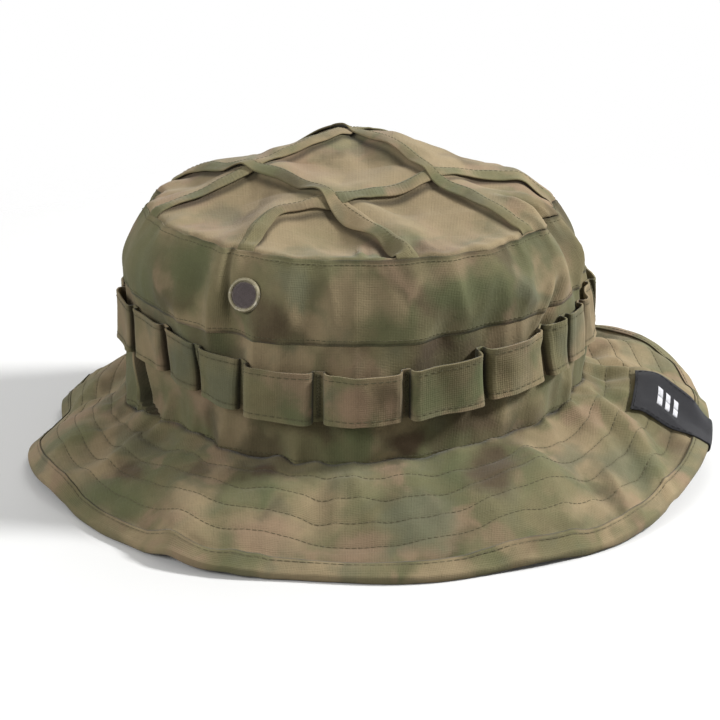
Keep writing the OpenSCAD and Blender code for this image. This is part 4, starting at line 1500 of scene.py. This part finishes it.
class HAT_OT_label(Operator):
    """Sew the folded label over the brim's edge"""

    bl_idname = "hat.label"
    bl_label = "Label"

    def execute(self, context):
        c = colours()
        points, run, across = self.path(2.45 * MM)
        rows = len(run)
        cloth = np.stack(np.broadcast_arrays(across[None], run[:, None]), -1)
        rim = hump(LABEL_WIDTH / 2 - np.abs(across), 0.7 * MM)
        damask = plain_cloth("Label damask", c.label, 0.5 * MM, 2.0, rough=0.62, contrast=0.2)
        shade = np.broadcast_to(-0.2 * rim, (rows, len(across)))
        piece = sheet("brim_label_cloth", points, cloth, shade, damask, 0.45 * MM, closed=False, flip=True)
        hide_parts("brim_label")
        marks = self.marks(points, run, across)
        return {"FINISHED"}

    def path(self, off):
        """The label's grid over the brim's upper face, round its edge and back below."""
        far = reach(LABEL_TURN)
        top = 1 - LABEL_LENGTH / far
        tail = 1 - LABEL_TAIL / far
        bend = np.radians([20, 45, 70, 90, 110, 135, 160])
        nose = 1 + 1.9 * MM / far * np.sin(bend)
        v = np.concatenate([np.linspace(top, 1, 34), nose, np.linspace(1, tail, 12)])
        height = np.concatenate([np.ones(34), np.cos(bend), -np.ones(12)]) * off
        across = np.linspace(-LABEL_WIDTH / 2, LABEL_WIDTH / 2, 22)
        x0, y0 = plan(LABEL_TURN - 0.5, far)
        x1, y1 = plan(LABEL_TURN + 0.5, far)
        per_degree = float(np.hypot(x1 - x0, y1 - y0))
        inner_degree = per_degree * (0.62 + 0.38 * (v - top) / (1 - top))
        t = LABEL_TURN + across[None] / inner_degree[:, None]
        grid_v = np.broadcast_to(v[:, None], t.shape)
        w = np.minimum(grid_v, 1)
        lift, _, _ = brim_folds(t, w)
        x, y = plan(t, reach(t) * grid_v)
        spots = point(across[None], v[:, None] * BRIM_WIDE, 0.0)
        ripple = 0.25 * MM * waves(spots, 0.011, 95) * (height > 0)[:, None]
        z = brim_z(t, w) + lift + height[:, None] + ripple
        points = point(x, y, z)
        return points, lengths(points[:, len(across) // 2]), across

    def marks(self, points, run, across):
        """Plain woven bars on the upper face, and the stitches that hold the label."""

        def at(a, r):
            """Places at widths a and lengths r on the label's upper face."""
            a, r = np.broadcast_arrays(np.asarray(a, float), np.asarray(r, float))
            col = np.interp(a, across, np.arange(len(across)))
            row = np.interp(r, run, np.arange(len(run)))
            i, j = np.floor(row).astype(int), np.floor(col).astype(int)
            i, j = np.minimum(i, len(run) - 2), np.minimum(j, len(across) - 2)
            f, g = (row - i)[..., None], (col - j)[..., None]
            low = points[i, j] * (1 - g) + points[i, j + 1] * g
            high = points[i + 1, j] * (1 - g) + points[i + 1, j + 1] * g
            return low * (1 - f) + high * f

        up = unit(np.cross(points[20, 12] - points[20, 8], points[16, 10] - points[24, 10]))
        up = up * np.sign(up[2])
        rows = []
        half_bar = 4 * MM
        for start in (11, 15.5, 20):
            r = np.arange(start, start + 2.4, 0.3) * MM
            begin, end = at(-half_bar, r), at(half_bar, r)
            middle = at(0.0, r) + up * 0.12 * MM
            rows.append((begin + up * 0.1 * MM, middle, np.broadcast_to(up, begin.shape)))
            rows.append((middle, end + up * 0.1 * MM, np.broadcast_to(up, begin.shape)))
        thread = twisted_thread("Thread, label bars", colours().mark)
        pale = sew("label_bars", rows, thread, 0.2 * MM)
        inset = LABEL_WIDTH / 2 - 1.1 * MM
        first, last = 1.2 * MM, LABEL_LENGTH - 1.5 * MM
        sides = (
            (np.linspace(-inset, inset, 14), first),
            (inset, np.linspace(first, last, 22)),
            (-inset, np.linspace(last, first, 22)),
        )
        rows = []
        for a, r in sides:
            path = at(a, r) + up * 0.06 * MM
            rows.append(stitch_row(path, np.broadcast_to(up, path.shape), 1.7 * MM, 0.7 * MM, closed=False))
        thread = twisted_thread("Thread, label", colours().label)
        sew("stitches_label", rows, thread, 0.16 * MM)
        return pale


class HAT_OT_stitches(Operator):
    """Stitch the seams, the quilting and the hem"""

    bl_idname = "hat.stitches"
    bl_label = "Stitching"

    def execute(self, context):
        c = colours()
        t = np.arange(-180, 180, 0.8)
        khaki = twisted_thread("Thread, seams", c.thread)
        dark = twisted_thread("Thread, quilting", c.dark_thread)
        rows = []
        for u in (0.022, BAND_SPLIT + 0.016, 0.982):
            here, normal = surface_row(wall, t, u, 0.22 * MM)
            rows.append(stitch_row(here, normal, 1.7 * MM, 0.5 * MM))
        sew("stitches_crown", rows, khaki)
        upper, lower = [], []
        for v in QUILTING:
            here, normal = surface_row(brim, t, v, HALF_STACK)
            upper.append(stitch_row(here + [0, 0, 0.08 * MM], -normal, 2.0 * MM, 0.5 * MM))
            below, normal = surface_row(brim, t, v, -HALF_STACK, -0.6)
            lower.append(stitch_row(below - [0, 0, 0.08 * MM], normal, 2.0 * MM, 0.5 * MM))
        on_hem = hem_row(-1.4 * MM)
        lift, _, _ = brim_folds(t, on_hem)
        for side, rows in ((1, upper), (-1, lower)):
            x, y = plan(t, reach(t) * on_hem)
            z = brim_z(t, on_hem) + lift + side * (HEM_OUT - 0.18 * MM)
            path = point(x, y, np.maximum(z, 0.15 * MM))
            rows.append(stitch_row(path, np.tile([0.0, 0.0, side], (len(t), 1)), 2.4 * MM, 0.6 * MM))
        sew("stitches_brim_upper", upper, dark)
        sew("stitches_brim_lower", lower, dark)
        self.tuck_stitches(khaki)
        self.band_stitches(t, twisted_thread("Thread, sweatband", c.sweatband))
        return {"FINISHED"}

    def tuck_stitches(self, material):
        """A row along each tuck, just inside its folded edge."""
        s = sizes()
        rows = []
        for name in TUCKS:
            piece = bpy.data.objects["crown_tuck_" + name]
            corners = np.array([v.co for v in piece.data.vertices]).reshape(-1, TUCK_COLUMNS, 3)
            path = (corners[5, 6:-6] + corners[6, 6:-6]) / 2
            normal = unit(np.cross(np.gradient(path, axis=0), corners[8, 6:-6] - corners[3, 6:-6]))
            normal = np.where(normal[:, 2:] < 0, -normal, normal)
            rows.append(stitch_row(path + normal * 0.03 * MM, normal, 1.7 * MM, 0.5 * MM, closed=False))
        sew("stitches_tucks", rows, material, s.thread * 0.9)

    def band_stitches(self, t, material):
        """Rows along the sweatband's two edges, on the side towards the head."""
        rows = []
        inward = point(-np.cos(np.radians(t)), -np.sin(np.radians(t)), 0.0)
        for level in SWEATBAND_ROWS:
            path = sweatband(t, SWEATBAND_TOP * level, 2.72 * MM)
            rows.append(stitch_row(path, inward, 2.4 * MM, 0.8 * MM))
        sew("stitches_sweatband", rows, material)


class HAT_OT_stage(Operator):
    """Set up the floor, the soft lights and the camera"""

    bl_idname = "hat.stage"
    bl_label = "Stage"

    def execute(self, context):
        scene = context.scene
        scene.view_settings.view_transform = "Standard"
        self.floor()
        self.world(scene)
        self.lamp("Key", (0.0, 1.15, 0.9), 0.25, 23.0)
        self.lamp("Fill", (0.75, -1.25, 0.85), 0.7, 10.5)
        self.lamp("Back", (-0.9, 0.2, 1.0), 0.8, 4.0)
        lens = bpy.data.cameras.new("Camera")
        camera = bpy.data.objects.new("Camera", lens)
        scene.collection.objects.link(camera)
        scene.camera = camera
        lens.sensor_width, lens.lens = 36, 96.6
        away, up, level = 0.85, math.radians(20), 0.06
        camera.location = MIDDLE.x + away * math.cos(up), MIDDLE.y, level + away * math.sin(up)
        aim = Vector((MIDDLE.x, MIDDLE.y + 0.0013, 0.039))
        camera.rotation_euler = (camera.location - aim).to_track_quat("Z", "Y").to_euler()
        return {"FINISHED"}

    def floor(self):
        mesh = bpy.data.meshes.new("floor")
        half = 3.0
        corners = [(x * half, y * half, 0) for x, y in ((-1, -1), (1, -1), (1, 1), (-1, 1))]
        mesh.from_pydata(corners, [], [(0, 1, 2, 3)])
        floor = bpy.data.objects.new("floor", mesh)
        bpy.context.scene.collection.objects.link(floor)
        paint = Paint("Floor paper")
        here = paint.place()
        grain = paint.noise(here, 4 * MM, 3.0)
        seen = paint.node("ShaderNodeLightPath", out="Is Camera Ray")
        look = paint.mix(seen, (0.3, 0.3, 0.29), colours().floor)
        paint.set(Base_Color=look, Roughness=0.85, Normal=paint.bump(grain, 0.05 * MM, 0.1))
        paint.set(Specular_IOR_Level=0.1)
        # away from the hat the paper fades into the white backdrop
        far = paint.vector("LENGTH", here, out="Value")
        clear = paint.node("ShaderNodeBsdfTransparent")
        paper = Wire(paint, paint.shader.outputs[0])
        both = paint.node("ShaderNodeMixShader", None, {0: far.step(0.26, 0.5), 1: paper, 2: clear})
        paint.tree.links.new(both.socket, paint.tree.nodes["Material Output"].inputs["Surface"])
        mesh.materials.append(paint.material)

    def world(self, scene):
        world = bpy.data.worlds.new("Studio")
        scene.world = world
        world.use_nodes = True
        tree = world.node_tree
        tree.nodes.clear()
        out = tree.nodes.new("ShaderNodeOutputWorld")
        seen, lit = (tree.nodes.new("ShaderNodeBackground") for _ in range(2))
        seen.inputs["Color"].default_value = lit.inputs["Color"].default_value = (1, 1, 1, 1)
        seen.inputs["Strength"].default_value = 1.0
        lit.inputs["Strength"].default_value = 0.3
        ray = tree.nodes.new("ShaderNodeLightPath")
        either = tree.nodes.new("ShaderNodeMath")
        either.operation = "MAXIMUM"
        tree.links.new(ray.outputs["Is Camera Ray"], either.inputs[0])
        tree.links.new(ray.outputs["Is Glossy Ray"], either.inputs[1])
        mix = tree.nodes.new("ShaderNodeMixShader")
        tree.links.new(either.outputs[0], mix.inputs[0])
        tree.links.new(lit.outputs[0], mix.inputs[1])
        tree.links.new(seen.outputs[0], mix.inputs[2])
        tree.links.new(mix.outputs[0], out.inputs["Surface"])

    def lamp(self, name, place, size, power):
        light = bpy.data.lights.new(name, "AREA")
        light.shape, light.size, light.energy = "DISK", size, power
        lamp = bpy.data.objects.new(name, light)
        bpy.context.scene.collection.objects.link(lamp)
        lamp.location = place
        lamp.rotation_euler = (Vector(place) - Vector((0, 0, 0.06))).to_track_quat("Z", "Y").to_euler()


class HAT_PT_panel(Panel):
    """Lists the hat's pieces, sizes and colours"""

    bl_idname = "HAT_PT_panel"
    bl_label = "Boonie hat"
    bl_space_type = "VIEW_3D"
    bl_region_type = "UI"
    bl_category = "Hat"

    def draw(self, context):
        for operator in OPERATORS:
            self.layout.operator(operator.bl_idname)
        for group in (context.scene.hat_sizes, context.scene.hat_colours):
            box = self.layout.box()
            for name in group.__annotations__:
                box.prop(group, name)


OPERATORS = (
    HAT_OT_brim,
    HAT_OT_crown_bands,
    HAT_OT_crown_top,
    HAT_OT_foliage_loops,
    HAT_OT_inside,
    HAT_OT_vents,
    HAT_OT_label,
    HAT_OT_stitches,
    HAT_OT_stage,
)
CLASSES = (HatSizes, HatColours, *OPERATORS, HAT_PT_panel)


def register():
    for item in CLASSES:
        bpy.utils.register_class(item)
    bpy.types.Scene.hat_sizes = PointerProperty(type=HatSizes)
    bpy.types.Scene.hat_colours = PointerProperty(type=HatColours)


def unregister():
    del bpy.types.Scene.hat_colours, bpy.types.Scene.hat_sizes
    for item in reversed(CLASSES):
        bpy.utils.unregister_class(item)


def main():
    register()
    for operator in OPERATORS:
        getattr(bpy.ops.hat, operator.bl_idname.split(".")[1])()
    bpy.context.view_layer.update()


if __name__ == "__main__":
    main()
